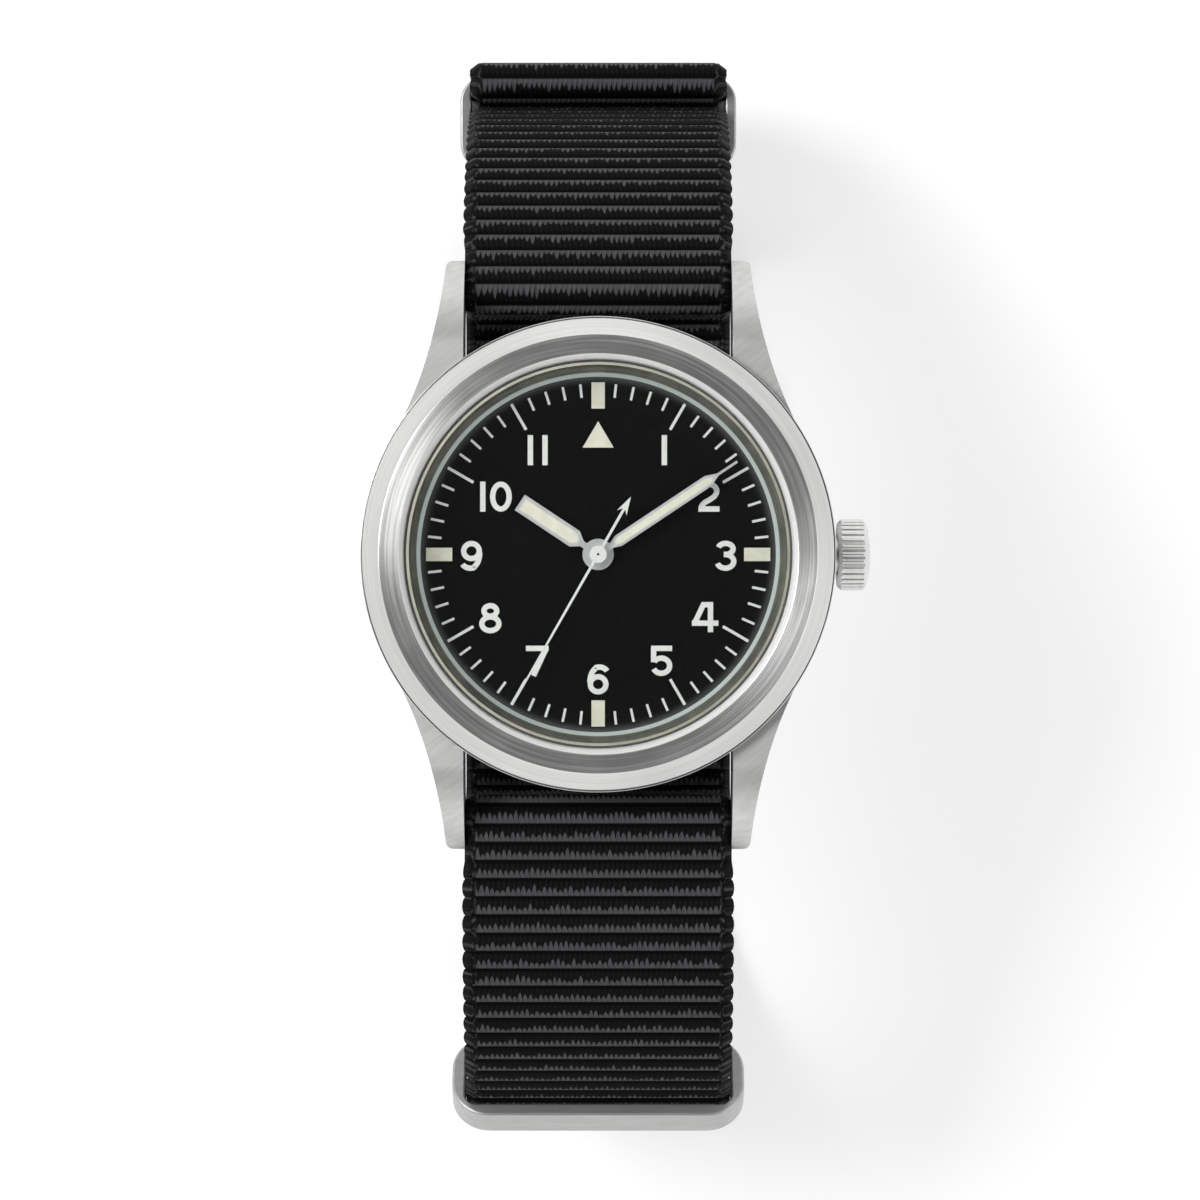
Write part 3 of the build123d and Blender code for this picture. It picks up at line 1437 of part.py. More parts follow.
def ratchet_wheel():
    angle = gap_angle(direction(barrel_place, crown_wheel_place), ratchet_teeth)
    return gear(ratchet_teeth, ratchet_module, ratchet_z, ratchet_top_z, barrel_place, angle)


def click():
    """Pawl beside the ratchet wheel, on its own post."""
    body = capsule(click_place, click_tip, click_radius / 2, ratchet_z, ratchet_z + click_thickness)
    body += drum(click_radius, ratchet_z, ratchet_z + click_thickness, click_place)
    return body + drum(arbor_radius, ratchet_z, bridge_z + bridge_thickness / 2, click_place)


def click_spring():
    low = ratchet_z
    body = capsule(click_spring_post, click_spring_end, click_spring_width / 2, low, low + click_thickness)
    return body + drum(click_spring_width, low, bridge_z, click_spring_post)


def setting_lever():
    """Lever over the main plate whose pin stands in the stem's groove."""
    low = plate_top_z + sliding_gap
    top = low + setting_lever_thickness
    pin_place = (stem_groove_x, 0)
    body = capsule(setting_pivot, pin_place, arbor_radius * 2, low, top)
    body += drum(arbor_radius, crown_z + stem_groove_radius + sliding_gap, low + setting_lever_thickness / 2,
                 pin_place)
    return body + drum(click_radius, low, top, setting_pivot)


pieces = {
    "mid_case": mid_case, "case_back": case_back, "case_back_gasket": case_back_gasket, "bezel": bezel,
    "crystal": crystal, "crystal_gasket": crystal_gasket, "rehaut_ring": rehaut_ring,
    "crown": crown, "crown_tube": crown_tube, "crown_gasket": crown_gasket,
    "dial": dial, "dial_lume": dial_lume, "hour_hand": hour_hand, "hour_lume": hour_lume,
    "minute_hand": minute_hand, "minute_lume": minute_lume, "seconds_hand": seconds_hand,
    "spring_bar_tubes": spring_bar_tubes, "spring_bar_springs": spring_bar_springs,
    "main_strap": main_strap, "under_strap": under_strap, "strap_ring": strap_ring,
    "upper_keeper": upper_keeper, "lower_keeper": lower_keeper, "buckle_frame": buckle_frame,
    "buckle_bar": buckle_bar, "buckle_tongue": buckle_tongue,
    "movement_ring": movement_ring, "main_plate": main_plate, "barrel_bridge": barrel_bridge,
    "train_bridge": train_bridge, "balance_cock": balance_cock, "pallet_bridge": pallet_bridge,
    "bridge_screws": bridge_screws, "jewels": jewels, "barrel": barrel, "barrel_arbor": barrel_arbor,
    "mainspring": mainspring, "intermediate_wheel": intermediate_wheel, "third_wheel": third_wheel,
    "seconds_wheel": seconds_wheel, "escape_wheel": escape_wheel, "pallet_fork": pallet_fork,
    "balance_wheel": balance_wheel, "hairspring": hairspring,
    "cannon_pinion": cannon_pinion, "minute_wheel": minute_wheel, "hour_wheel": hour_wheel,
    "winding_stem": winding_stem, "sliding_pinion": sliding_pinion, "winding_pinion": winding_pinion,
    "crown_wheel": crown_wheel, "ratchet_wheel": ratchet_wheel,
    "click": click, "click_spring": click_spring, "setting_lever": setting_lever,
}
tips = {"tip_12_left": (1, -1), "tip_12_right": (1, 1), "tip_6_left": (-1, -1), "tip_6_right": (-1, 1)}

os.makedirs("parts", exist_ok=True)
for name, make in pieces.items():
    export_step(make(), f"parts/{name}.step")
for name, sides in tips.items():
    export_step(spring_bar_tip(*sides), f"parts/{name}.step")
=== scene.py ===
import math

import bmesh
import bpy
from mathutils import Matrix, Vector


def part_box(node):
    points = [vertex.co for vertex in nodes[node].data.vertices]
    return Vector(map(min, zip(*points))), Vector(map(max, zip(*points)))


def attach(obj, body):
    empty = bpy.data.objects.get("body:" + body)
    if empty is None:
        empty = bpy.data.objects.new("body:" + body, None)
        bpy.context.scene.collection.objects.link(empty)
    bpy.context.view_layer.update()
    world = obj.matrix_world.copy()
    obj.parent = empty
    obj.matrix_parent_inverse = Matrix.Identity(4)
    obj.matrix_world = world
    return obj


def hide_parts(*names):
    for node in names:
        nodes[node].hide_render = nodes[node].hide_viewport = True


bl_info = {
    "name": "Field Watch",
    "version": (1, 0, 0),
    "blender": (4, 5, 0),
    "location": "3D View > Sidebar > Field Watch",
    "description": "Dresses the field watch and its webbing strap, piece by piece",
    "category": "Object",
}

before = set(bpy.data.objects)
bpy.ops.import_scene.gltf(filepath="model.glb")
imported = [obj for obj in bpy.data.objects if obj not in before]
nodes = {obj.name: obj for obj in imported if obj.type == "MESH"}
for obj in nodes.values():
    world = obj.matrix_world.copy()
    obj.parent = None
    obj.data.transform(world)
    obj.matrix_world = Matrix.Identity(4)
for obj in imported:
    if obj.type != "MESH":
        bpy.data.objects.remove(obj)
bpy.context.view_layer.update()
mm = 0.001
quarter = math.radians(90)


# Settings

class WatchSizes(bpy.types.PropertyGroup):
    """Sizes of the fine forms that the dressing adds."""
    rib_pitch: bpy.props.FloatProperty(
        name="Rib pitch", description="Length of strap from one rib to the next",
        default=1.38 * mm, min=0.5 * mm, subtype="DISTANCE", unit="LENGTH")
    rib_depth: bpy.props.FloatProperty(
        name="Rib depth", description="How deep the valleys between the ribs are",
        default=0.3 * mm, min=0.0, subtype="DISTANCE", unit="LENGTH")
    thread_pitch: bpy.props.FloatProperty(
        name="Thread pitch", description="Distance between the threads that wrap the ribs",
        default=0.4 * mm, min=0.1 * mm, subtype="DISTANCE", unit="LENGTH")
    print_height: bpy.props.FloatProperty(
        name="Print height", description="Thickness of the paint on the dial",
        default=0.02 * mm, min=0.0, subtype="DISTANCE", unit="LENGTH")
    numeral_stroke: bpy.props.FloatProperty(
        name="Numeral stroke", description="Width of the strokes of the dial's numbers",
        default=0.4 * mm, min=0.05 * mm, subtype="DISTANCE", unit="LENGTH")
    edge_round: bpy.props.FloatProperty(
        name="Edge round", description="Radius of the softened edges of the steel pieces",
        default=0.09 * mm, min=0.0, subtype="DISTANCE", unit="LENGTH")


class WatchColours(bpy.types.PropertyGroup):
    """Colours that a user would change."""
    webbing: bpy.props.FloatVectorProperty(
        name="Webbing", description="Colour of the strap's nylon", subtype="COLOR", size=4,
        default=(0.0045, 0.0045, 0.0048, 1), min=0, max=1)
    case: bpy.props.FloatVectorProperty(
        name="Case", description="Colour of the case's upper face and back", subtype="COLOR", size=4,
        default=(0.62, 0.62, 0.612, 1), min=0, max=1)
    bezel: bpy.props.FloatVectorProperty(
        name="Bezel", description="Colour of the bezel's flat face", subtype="COLOR", size=4,
        default=(0.76, 0.76, 0.75, 1), min=0, max=1)
    crown: bpy.props.FloatVectorProperty(
        name="Crown", description="Colour of the crown", subtype="COLOR", size=4,
        default=(0.74, 0.74, 0.73, 1), min=0, max=1)
    rings: bpy.props.FloatVectorProperty(
        name="Rings", description="Colour of the strap's ring and keepers", subtype="COLOR", size=4,
        default=(0.46, 0.46, 0.455, 1), min=0, max=1)
    steel: bpy.props.FloatVectorProperty(
        name="Steel", description="Colour of the bezel's slopes, the edges, the buckle and the spring bars",
        subtype="COLOR", size=4, default=(0.68, 0.68, 0.67, 1), min=0, max=1)
    dial: bpy.props.FloatVectorProperty(
        name="Dial", description="Colour of the dial", subtype="COLOR", size=4,
        default=(0.0022, 0.0022, 0.0024, 1), min=0, max=1)
    paint: bpy.props.FloatVectorProperty(
        name="Print", description="Colour of the numbers and ticks", subtype="COLOR", size=4,
        default=(0.90, 0.91, 0.87, 1), min=0, max=1)
    lume: bpy.props.FloatVectorProperty(
        name="Lume", description="Colour of the luminous paint", subtype="COLOR", size=4,
        default=(0.87, 0.85, 0.71, 1), min=0, max=1)
    floor: bpy.props.FloatVectorProperty(
        name="Floor", description="Colour of the floor", subtype="COLOR", size=4,
        default=(0.7, 0.7, 0.7, 1), min=0, max=1)


def sizes():
    return bpy.context.scene.watch_sizes


def tone_of(colour):
    """A colour, or the one that the settings hold under that name."""
    return tuple(getattr(bpy.context.scene.watch_colours, colour)) if isinstance(colour, str) else colour


def shade(colour, factor):
    """Lighter or darker tone of a colour."""
    return tuple(min(1.0, part * factor) for part in colour[:3]) + (1,)


# Node trees

class Tree:
    """Short way to add nodes to a tree and join them."""

    def __init__(self, tree):
        self.tree = tree

    def feed(self, node, values):
        """Sets a node's inputs, or joins them to the outputs of other nodes."""
        for key, value in values.items():
            if isinstance(value, bpy.types.NodeSocket):
                self.tree.links.new(value, node.inputs[key])
            else:
                node.inputs[key].default_value = value

    def add(self, kind, inputs=None, **settings):
        node = self.tree.nodes.new(kind)
        for key, value in settings.items():
            setattr(node, key, value)
        self.feed(node, inputs or {})
        return node

    def math(self, operation, *values, clamp=False):
        return self.add("ShaderNodeMath", dict(enumerate(values)), operation=operation,
                        use_clamp=clamp).outputs[0]

    def plus(self, first, second):
        return self.math("ADD", first, second)

    def times(self, first, second):
        return self.math("MULTIPLY", first, second)

    def remap(self, value, low, high, new_low=0.0, new_high=1.0):
        """A value from low to high, smoothly, as new_low to new_high."""
        inputs = {"Value": value, "From Min": low, "From Max": high, "To Min": new_low, "To Max": new_high}
        return self.add("ShaderNodeMapRange", inputs, interpolation_type="SMOOTHSTEP").outputs[0]

    def noise(self, vector, scale, detail=2.0, roughness=0.5):
        inputs = {"Vector": vector, "Scale": scale, "Detail": detail, "Roughness": roughness}
        return self.add("ShaderNodeTexNoise", inputs).outputs[0]

    def mix(self, share, first, second):
        return self.add("ShaderNodeMix", {0: share, 6: first, 7: second}, data_type="RGBA").outputs[2]

    def combine(self, x, y, z):
        return self.add("ShaderNodeCombineXYZ", {0: x, 1: y, 2: z}).outputs[0]

    def split(self, vector):
        return self.add("ShaderNodeSeparateXYZ", {0: vector}).outputs

    def radius(self, parts):
        """Distance from the Z axis."""
        return self.math("SQRT", self.plus(self.times(parts[0], parts[0]), self.times(parts[1], parts[1])))


def shade_group(name, values, masks):
    """New shader node group. It takes a vector and named values with defaults, and puts out masks."""
    group = bpy.data.node_groups.new(name, "ShaderNodeTree")
    group.interface.new_socket("Vector", in_out="INPUT", socket_type="NodeSocketVector")
    for label, default in values.items():
        socket = group.interface.new_socket(label, in_out="INPUT", socket_type="NodeSocketFloat")
        socket.default_value = default
    for label in masks:
        group.interface.new_socket(label, in_out="OUTPUT", socket_type="NodeSocketFloat")
    tree = Tree(group)
    return group, tree, tree.add("NodeGroupInput").outputs, tree.add("NodeGroupOutput")


def brushed_group():
    """Fine parallel lines along X, as from a brushing belt."""
    group, tree, given, made = shade_group(
        "Brushed Lines", {"Density": 9000.0, "Streak": 400.0}, ["Height", "Tone"])
    parts = tree.split(given["Vector"])
    across = [tree.times(parts[index], given["Density"]) for index in (1, 2)]
    line = tree.combine(tree.times(parts[0], given["Streak"]), *across)
    tree.feed(made, {"Height": tree.noise(line, 1.0, 3.0, 0.7), "Tone": tree.noise(line, 0.37, 2.0, 0.6)})
    return group


def turned_group():
    """Fine rings round Z, as from a lathe."""
    group, tree, given, made = shade_group(
        "Turned Lines", {"Density": 9000.0, "Streak": 200.0}, ["Height", "Tone"])
    parts = tree.split(given["Vector"])
    depth = tree.times(tree.plus(tree.radius(parts), tree.times(parts[2], -1.0)), given["Density"])
    around = [tree.times(parts[index], given["Streak"]) for index in (0, 1)]
    line = tree.combine(depth, *around)
    tree.feed(made, {"Height": tree.noise(line, 1.0, 3.0, 0.7), "Tone": tree.noise(line, 0.33, 2.0, 0.6)})
    return group


def handled_group():
    """Faint smudges of a piece that has been handled."""
    group, tree, given, made = shade_group("Handled", {"Scale": 260.0}, ["Smudge"])
    smudge = tree.noise(given["Vector"], given["Scale"], 4.0, 0.6)
    tree.feed(made, {"Smudge": tree.remap(smudge, 0.35, 0.7)})
    return group


def weave_group():
    """Threads that wrap the ribs of the webbing, with a painted highlight band on each rib, painted
    highlights on the selvedge's knots and painted shade in the valleys. The vector is across and along it, in
    metres.
    """
    group, tree, given, made = shade_group(
        "Ribbed Weave", {"Rib": 1.38 * mm, "Thread": 0.4 * mm}, ["Height", "Light", "Valley"])
    parts = tree.split(given["Vector"])
    along = tree.math("DIVIDE", parts[1], given["Rib"])
    rib = tree.math("FLOOR", along)
    phase = tree.math("FRACT", along)
    swell = tree.math("SINE", tree.times(phase, math.pi))
    shift = tree.math("FRACT", tree.times(rib, 0.37))
    wander = tree.noise(tree.combine(tree.times(parts[0], 700.0), tree.times(rib, 7.3), 0.0), 1.0)
    across = tree.plus(tree.math("DIVIDE", parts[0], given["Thread"]), shift)
    across = tree.plus(across, tree.times(wander, 0.8))
    thread = tree.math("ABSOLUTE", tree.math("SINE", tree.times(across, math.pi)))
    fibre_place = tree.combine(tree.times(parts[0], 16000.0), tree.times(parts[1], 1500.0), rib)
    fibre = tree.noise(fibre_place, 1.0, 2.0, 0.6)
    each = tree.noise(tree.combine(tree.math("FLOOR", across), tree.times(rib, 3.7), 0.0), 1.7, 0.0)
    reach = tree.plus(tree.times(tree.times(thread, each), 0.62), tree.times(fibre, 0.1))
    # Painted highlight: a bright band on each rib, ragged where the threads reach.
    low = tree.remap(phase, 0.07, 0.15)
    high = tree.remap(tree.math("SUBTRACT", phase, reach), 0.15, 0.25, 1.0, 0.0)
    painted_band = tree.times(tree.times(low, high), tree.remap(fibre, 0.3, 0.7, 0.55, 1.0))
    side = tree.math("ABSOLUTE", parts[0])
    selvedge = tree.remap(side, 9.15 * mm, 9.4 * mm)
    # Painted highlights: small glints on the selvedge's knots.
    knot_place = tree.combine(tree.times(side, 3200.0), tree.times(parts[1], 2600.0), 0.0)
    knot_highlight = tree.remap(tree.noise(knot_place, 1.0), 0.5, 0.68, 0.0, 0.6)
    inner = tree.times(painted_band, tree.math("SUBTRACT", 1.0, selvedge))
    body = tree.times(thread, tree.remap(swell, 0.0, 0.75, 0.25, 1.0))
    tree.feed(made, {"Height": tree.plus(tree.times(body, 0.8), tree.times(fibre, 0.2)),
                     "Light": tree.plus(inner, tree.times(knot_highlight, selvedge)),
                     "Valley": tree.remap(swell, 0.12, 0.6, 1.0, 0.0)})
    return group


def grain_group():
    """Fine speckle of matte paint."""
    group, tree, given, made = shade_group("Paint Grain", {"Scale": 9000.0}, ["Height", "Tone"])
    coarse = tree.noise(given["Vector"], tree.times(given["Scale"], 0.2), 4.0)
    tree.feed(made, {"Height": tree.noise(given["Vector"], given["Scale"], 3.0, 0.6),
                     "Tone": tree.remap(coarse, 0.3, 0.7)})
    return group


group_makers = {"brushed": brushed_group, "turned": turned_group, "handled": handled_group,
                "weave": weave_group, "grain": grain_group}
groups = {}


def use(tree, name, inputs):
    """One of the shared groups, built once, placed in a material."""
    if name not in groups:
        groups[name] = group_makers[name]()
    return tree.add("ShaderNodeGroup", inputs, node_tree=groups[name]).outputs


# Materials

def blank(name):
    """New material, its tree and its main shader."""
    material = bpy.data.materials.new(name)
    material.use_nodes = True
    return material, Tree(material.node_tree), material.node_tree.nodes["Principled BSDF"]


def placed(tree, turn=(0, 0, 0), shift=(0, 0, 0)):
    """Object coordinates, moved and turned for a pattern."""
    where = tree.add("ShaderNodeTexCoord").outputs["Object"]
    return tree.add("ShaderNodeMapping", {"Vector": where, "Rotation": turn, "Location": shift},
                    vector_type="POINT").outputs[0]


def bump(tree, height, distance):
    """Normal for a relief of that height."""
    return tree.add("ShaderNodeBump", {"Height": height, "Distance": distance}).outputs[0]


def joint_shade_mask(tree, radius):
    """Painted shade: a dark line on the case's upper face, where the bezel meets it, standing in for the
    shadow in the gap between them.
    """
    parts = tree.split(placed(tree))
    off = tree.math("ABSOLUTE", tree.math("SUBTRACT", tree.radius(parts), radius))
    upper = tree.remap(parts[2], 42.85 * mm, 42.95 * mm)
    return tree.times(upper, tree.remap(off, 0.036 * mm, 0.09 * mm, 1.0, 0.0))


def steel(name, colour="steel", lines="brushed", turn=(0, 0, 0), shift=(0, 0, 0), density=9000.0,
          streak=400.0, roughness=(0.28, 0.31), relief=1.6e-6, grain=0.12, contrast=0.5, stretch=0.0,
          across=None, seam=0.0, metallic=1.0):
    """Metal with fine lines and an uneven polish. Stretch draws its lights out round Z, or at an angle."""
    material, tree, shader = blank(name)
    tone = tone_of(colour)
    spot = placed(tree, turn, shift)
    line = use(tree, lines, {"Vector": spot, "Density": density, "Streak": streak})
    worn = use(tree, "handled", {"Vector": spot})
    tint = tree.mix(tree.remap(line["Tone"], 0.5 - contrast, 0.5 + contrast),
                    shade(tone, 1 - grain), shade(tone, 1 + grain))
    if seam:
        # Painted shade: the steel darkens along the joint with the bezel, standing in for the shadow there.
        tint = tree.mix(joint_shade_mask(tree, seam), tint, shade(tone, 0.12))
    tree.feed(shader, {"Base Color": tint, "Metallic": metallic,
                       "Roughness": tree.remap(worn["Smudge"], 0.0, 1.0, *roughness),
                       "Normal": bump(tree, line["Height"], relief)})
    if stretch:
        if across is None:
            parts = tree.split(placed(tree))
            tangent = tree.add("ShaderNodeVectorMath", {0: tree.combine(parts[0], parts[1], 0.0)},
                               operation="NORMALIZE").outputs[0]
        else:
            tangent = tree.combine(math.cos(across), math.sin(across), 0.0)
        tree.feed(shader, {"Anisotropic": stretch, "Tangent": tangent})
    return material


def painted(name, colour, roughness=0.6, grain=0.08, scale=9000.0, relief=3e-6, metallic=0.0, spread=0.08):
    """Paint or plastic with a fine grain."""
    material, tree, shader = blank(name)
    tone = tone_of(colour)
    fine = use(tree, "grain", {"Vector": placed(tree), "Scale": scale})
    tree.feed(shader, {
        "Base Color": tree.mix(fine["Tone"], shade(tone, 1 - grain), shade(tone, 1 + grain)),
        "Roughness": tree.remap(fine["Height"], 0.2, 0.8, roughness - spread, roughness + spread),
        "Specular IOR Level": 0.4, "Metallic": metallic, "Normal": bump(tree, fine["Height"], relief)})
    return material


def webbing_nylon(name):
    """Black nylon whose threads wrap the ribs, with painted highlights on the ribs and painted shade in the
    valleys.
    """
    material, tree, shader = blank(name)
    across = tree.add("ShaderNodeUVMap", uv_map="weave").outputs[0]
    weave = use(tree, "weave", {"Vector": across, "Rib": sizes().rib_pitch, "Thread": sizes().thread_pitch})
    base = tone_of("webbing")
    # Painted shade: the nylon darkens in the valleys between the ribs.
    valley_shaded = tree.mix(weave["Valley"], base, shade(base, 0.3))
    # The threads are hollows here, with a fine ridge between two of them
    hollows = tree.math("SUBTRACT", 1.0, weave["Height"])
    # Painted highlight: the rib bands and knot glints raise the nylon's colour twentyfold.
    tree.feed(shader, {"Base Color": tree.mix(weave["Light"], valley_shaded, shade(base, 20)),
                       "Roughness": tree.remap(weave["Light"], 0.0, 1.0, 0.6, 0.38),
                       "Specular IOR Level": 0.06, "Normal": bump(tree, hollows, 0.09 * mm)})
    return material


def dial_paint(name):
    """Matte black with a painted reflection: a soft lighter margin at its edge, standing in for light from
    the crystal's edge.
    """
    material, tree, shader = blank(name)
    where = placed(tree)
    fine = use(tree, "grain", {"Vector": where, "Scale": 12000.0})
    base = tone_of("dial")
    speck = tree.mix(fine["Tone"], shade(base, 0.7), shade(base, 1.4))
    # Painted reflection: the dial lightens towards its edge.
    edge_reflection = tree.math("POWER", tree.remap(tree.radius(tree.split(where)), 12.4 * mm, 13.5 * mm), 2.0)
    tree.feed(shader, {"Base Color": tree.mix(edge_reflection, speck, (0.11, 0.112, 0.115, 1)),
                       "Roughness": tree.remap(fine["Height"], 0.2, 0.8, 0.62, 0.8),
                       "Specular IOR Level": 0.05, "Normal": bump(tree, fine["Height"], 4e-6)})
    return material


def rehaut_plating(name):
    """Bright lip next to the dial, painted as a highlight, duller plating further out, and beyond it an
    olive-cream band painted as light reflected in the crystal's edge.
    """
    material, tree, shader = blank(name)
    where = placed(tree)
    fine = use(tree, "grain", {"Vector": where, "Scale": 3000.0})
    radius = tree.radius(tree.split(where))
    dull = tree.mix(fine["Tone"], (0.10, 0.102, 0.085, 1), (0.17, 0.17, 0.14, 1))
    # Painted reflection: an olive-cream band past the duller plating, standing in for the crystal's lit edge.
    outer = tree.mix(tree.remap(radius, 13.88 * mm, 13.98 * mm), dull, (0.42, 0.40, 0.32, 1))
    lip_end = tree.remap(radius, 13.54 * mm, 13.6 * mm)
    # Painted highlight: the lip next to the dial is near white.
    tree.feed(shader, {"Base Color": tree.mix(lip_end, (0.66, 0.73, 0.70, 1), outer),
                       "Roughness": tree.remap(fine["Height"], 0.2, 0.8, 0.3, 0.42),
                       "Normal": bump(tree, fine["Height"], 2e-6)})
    return material


def crystal_clear(name):
    """Clear dome. Shadow rays and soft light pass straight through."""
    material, tree, shader = blank(name)
    smear = use(tree, "handled", {"Vector": placed(tree), "Scale": 180.0})
    tree.feed(shader, {"Roughness": tree.remap(smear["Smudge"], 0.0, 1.0, 0.0, 0.012),
                       "Base Color": (0.985, 0.995, 0.99, 1), "Transmission Weight": 1.0, "IOR": 1.49})
    path = tree.add("ShaderNodeLightPath").outputs
    share = tree.math("ADD", path["Is Shadow Ray"], path["Is Diffuse Ray"], clamp=True)
    clear = tree.add("ShaderNodeBsdfTransparent", {"Color": (0.97, 0.98, 0.975, 1)}).outputs[0]
    mixed = tree.add("ShaderNodeMixShader", {0: share, 1: shader.outputs[0], 2: clear}).outputs[0]
    tree.feed(material.node_tree.nodes["Material Output"], {"Surface": mixed})
    return material


def plated(name, colour, stripe=0.0):
    """Movement metal: plated brass, with broad decorative stripes if asked for."""
    material, tree, shader = blank(name)
    spot = placed(tree, (0, 0, math.radians(35)))
    fine = use(tree, "brushed", {"Vector": spot, "Density": 12000.0, "Streak": 600.0})
    low = shade(colour, 0.85)
    tint = tree.mix(fine["Tone"], low, colour)
    if stripe:
        wave = tree.math("PINGPONG", tree.math("DIVIDE", tree.split(spot)[0], stripe), 1.0)
        tint = tree.mix(wave, tint, low)
    tree.feed(shader, {"Base Color": tint, "Metallic": 1.0,
                       "Roughness": tree.remap(fine["Tone"], 0.2, 0.8, 0.24, 0.38),
                       "Normal": bump(tree, fine["Height"], 1e-6)})
    return material


def gasket_rubber(name):
    """Black rubber of the gaskets."""
    material, tree, shader = blank(name)
    fine = use(tree, "grain", {"Vector": placed(tree), "Scale": 6000.0})
    tree.feed(shader, {"Base Color": tree.mix(fine["Tone"], (0.012, 0.012, 0.012, 1), (0.03, 0.03, 0.03, 1)),
                       "Roughness": tree.remap(fine["Height"], 0.2, 0.8, 0.7, 0.9),
                       "Normal": bump(tree, fine["Height"], 5e-6)})
    return material


def ruby_stone(name):
    """Red stone of the jewels."""
    material, tree, shader = blank(name)
    fine = use(tree, "grain", {"Vector": placed(tree), "Scale": 3000.0})
    tree.feed(shader, {"Base Color": tree.mix(fine["Tone"], (0.45, 0.01, 0.07, 1), (0.7, 0.05, 0.16, 1)),
                       "Roughness": 0.08, "Coat Weight": 0.6})
    return material


recipes = {
    # The case's steel carries painted shade along its joint with the bezel.
    "case_steel": (steel, dict(
        colour="case", turn=(0, 0, math.radians(-38)), density=7000.0, streak=500.0,
        roughness=(0.49, 0.52), stretch=0.5, across=math.radians(150), seam=17.86 * mm)),
    "flank_steel": (steel, dict(lines="turned", density=7000.0, streak=150.0, stretch=0.4)),
    "side_steel": (steel, dict(
        colour=(0.6, 0.6, 0.592, 1), lines="turned", density=5000.0, streak=120.0, roughness=(0.36, 0.4))),
    "bezel_steel": (steel, dict(
        colour="bezel", lines="turned", density=14000.0, streak=260.0, roughness=(0.37, 0.4), relief=5e-6,
        grain=0.22, contrast=0.14, stretch=0.78)),
    "edge_steel": (steel, dict(roughness=(0.16, 0.2), relief=3e-7, grain=0.03)),
    "crown_steel": (steel, dict(
        colour="crown", lines="turned", turn=(0, -quarter, 0), shift=(39.4 * mm, 0, 0),
        roughness=(0.38, 0.42), relief=8e-7, metallic=0.85)),
    "ring_steel": (steel, dict(
        colour="rings", density=8000.0, streak=700.0, roughness=(0.36, 0.4), relief=9e-7, metallic=0.65)),
    "buckle_steel": (steel, dict(turn=(0, 0, quarter), roughness=(0.27, 0.31))),
    "bar_steel": (steel, dict(lines="turned", turn=(0, -quarter, 0), relief=8e-7)),
    "movement_steel": (steel, dict(
        colour=(0.62, 0.62, 0.63, 1), density=14000.0, roughness=(0.18, 0.28), relief=5e-7)),
    "spring_steel": (steel, dict(
        colour=(0.35, 0.4, 0.52, 1), density=14000.0, roughness=(0.18, 0.26), relief=4e-7)),
    # Painted highlight: near-white paint on the bezel's polished inner bevel, standing in for its bright
    # reflection.
    "bright_edge": (painted, dict(
        colour=(0.86, 0.86, 0.85, 1), roughness=0.4, grain=0.02, scale=2000.0, relief=1e-7, metallic=0.2,
        spread=0.01)),
    # Painted highlight on the crystal's outer chamfer, standing in for light caught there.
    "crystal_rim": (painted, dict(
        colour=(0.42, 0.41, 0.33, 1), roughness=0.3, grain=0.1, scale=3000.0)),
    "hand_steel": (painted, dict(
        colour=(0.74, 0.74, 0.75, 1), roughness=0.35, grain=0.05, metallic=0.4)),
    "hand_white": (painted, dict(colour=(0.86, 0.87, 0.84, 1), roughness=0.45, grain=0.03)),
    "lume": (painted, dict(colour="lume", roughness=0.75, grain=0.06, scale=7000.0, relief=8e-6)),
    "dial_print": (painted, dict(colour="paint", grain=0.03)),
    "ring_plastic": (painted, dict(colour=(0.3, 0.3, 0.29, 1), roughness=0.5)),
    "plate_brass": (plated, dict(colour=(0.72, 0.71, 0.68, 1), stripe=1.6 * mm)),
    "wheel_brass": (plated, dict(colour=(0.76, 0.58, 0.28, 1))),
    "dial_black": (dial_paint, {}),
    "rehaut_plating": (rehaut_plating, {}),
    "gasket_rubber": (gasket_rubber, {}),
    "ruby": (ruby_stone, {}),
    "crystal": (crystal_clear, {}),
    "webbing": (webbing_nylon, {}),
}
made_materials = {}


def finish_of(name):
    """The material of that name, built once."""
    if name not in made_materials:
        maker, values = recipes[name]
        made_materials[name] = maker(name, **values)
    return made_materials[name]


# Making pieces

def piece(name, mesh, finishes, body, stands_for=()):
    """New object from a bmesh, dressed and riding on its body."""
    data = bpy.data.meshes.new(name)
    mesh.to_mesh(data)
    mesh.free()
    made = bpy.data.objects.new(name, data)
    bpy.context.scene.collection.objects.link(made)
    for finish in finishes:
        data.materials.append(finish_of(finish))
    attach(made, body)
    if stands_for:
        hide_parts(*stands_for)
    return made


def smooth_by_angle(data, degrees):
    """Smooth faces, with sharp edges kept where they turn by more than the angle."""
    for face in data.polygons:
        face.use_smooth = True
    data.set_sharp_from_angle(angle=math.radians(degrees))


def keep_flats(made):
    """Flat faces shade flat, and the rounded edges take up the turn."""
    made.modifiers.new("flats", "WEIGHTED_NORMAL").keep_sharp = True


def dress(finish, *names):
    """New finish for carried-over nodes."""
    for name in names:
        data = nodes[name].data
        data.materials.clear()
        data.materials.append(finish_of(finish))


def join_points(mesh, reach):
    """Joins points that coincide. Faces of no area go with them."""
    bmesh.ops.remove_doubles(mesh, verts=list(mesh.verts), dist=reach)


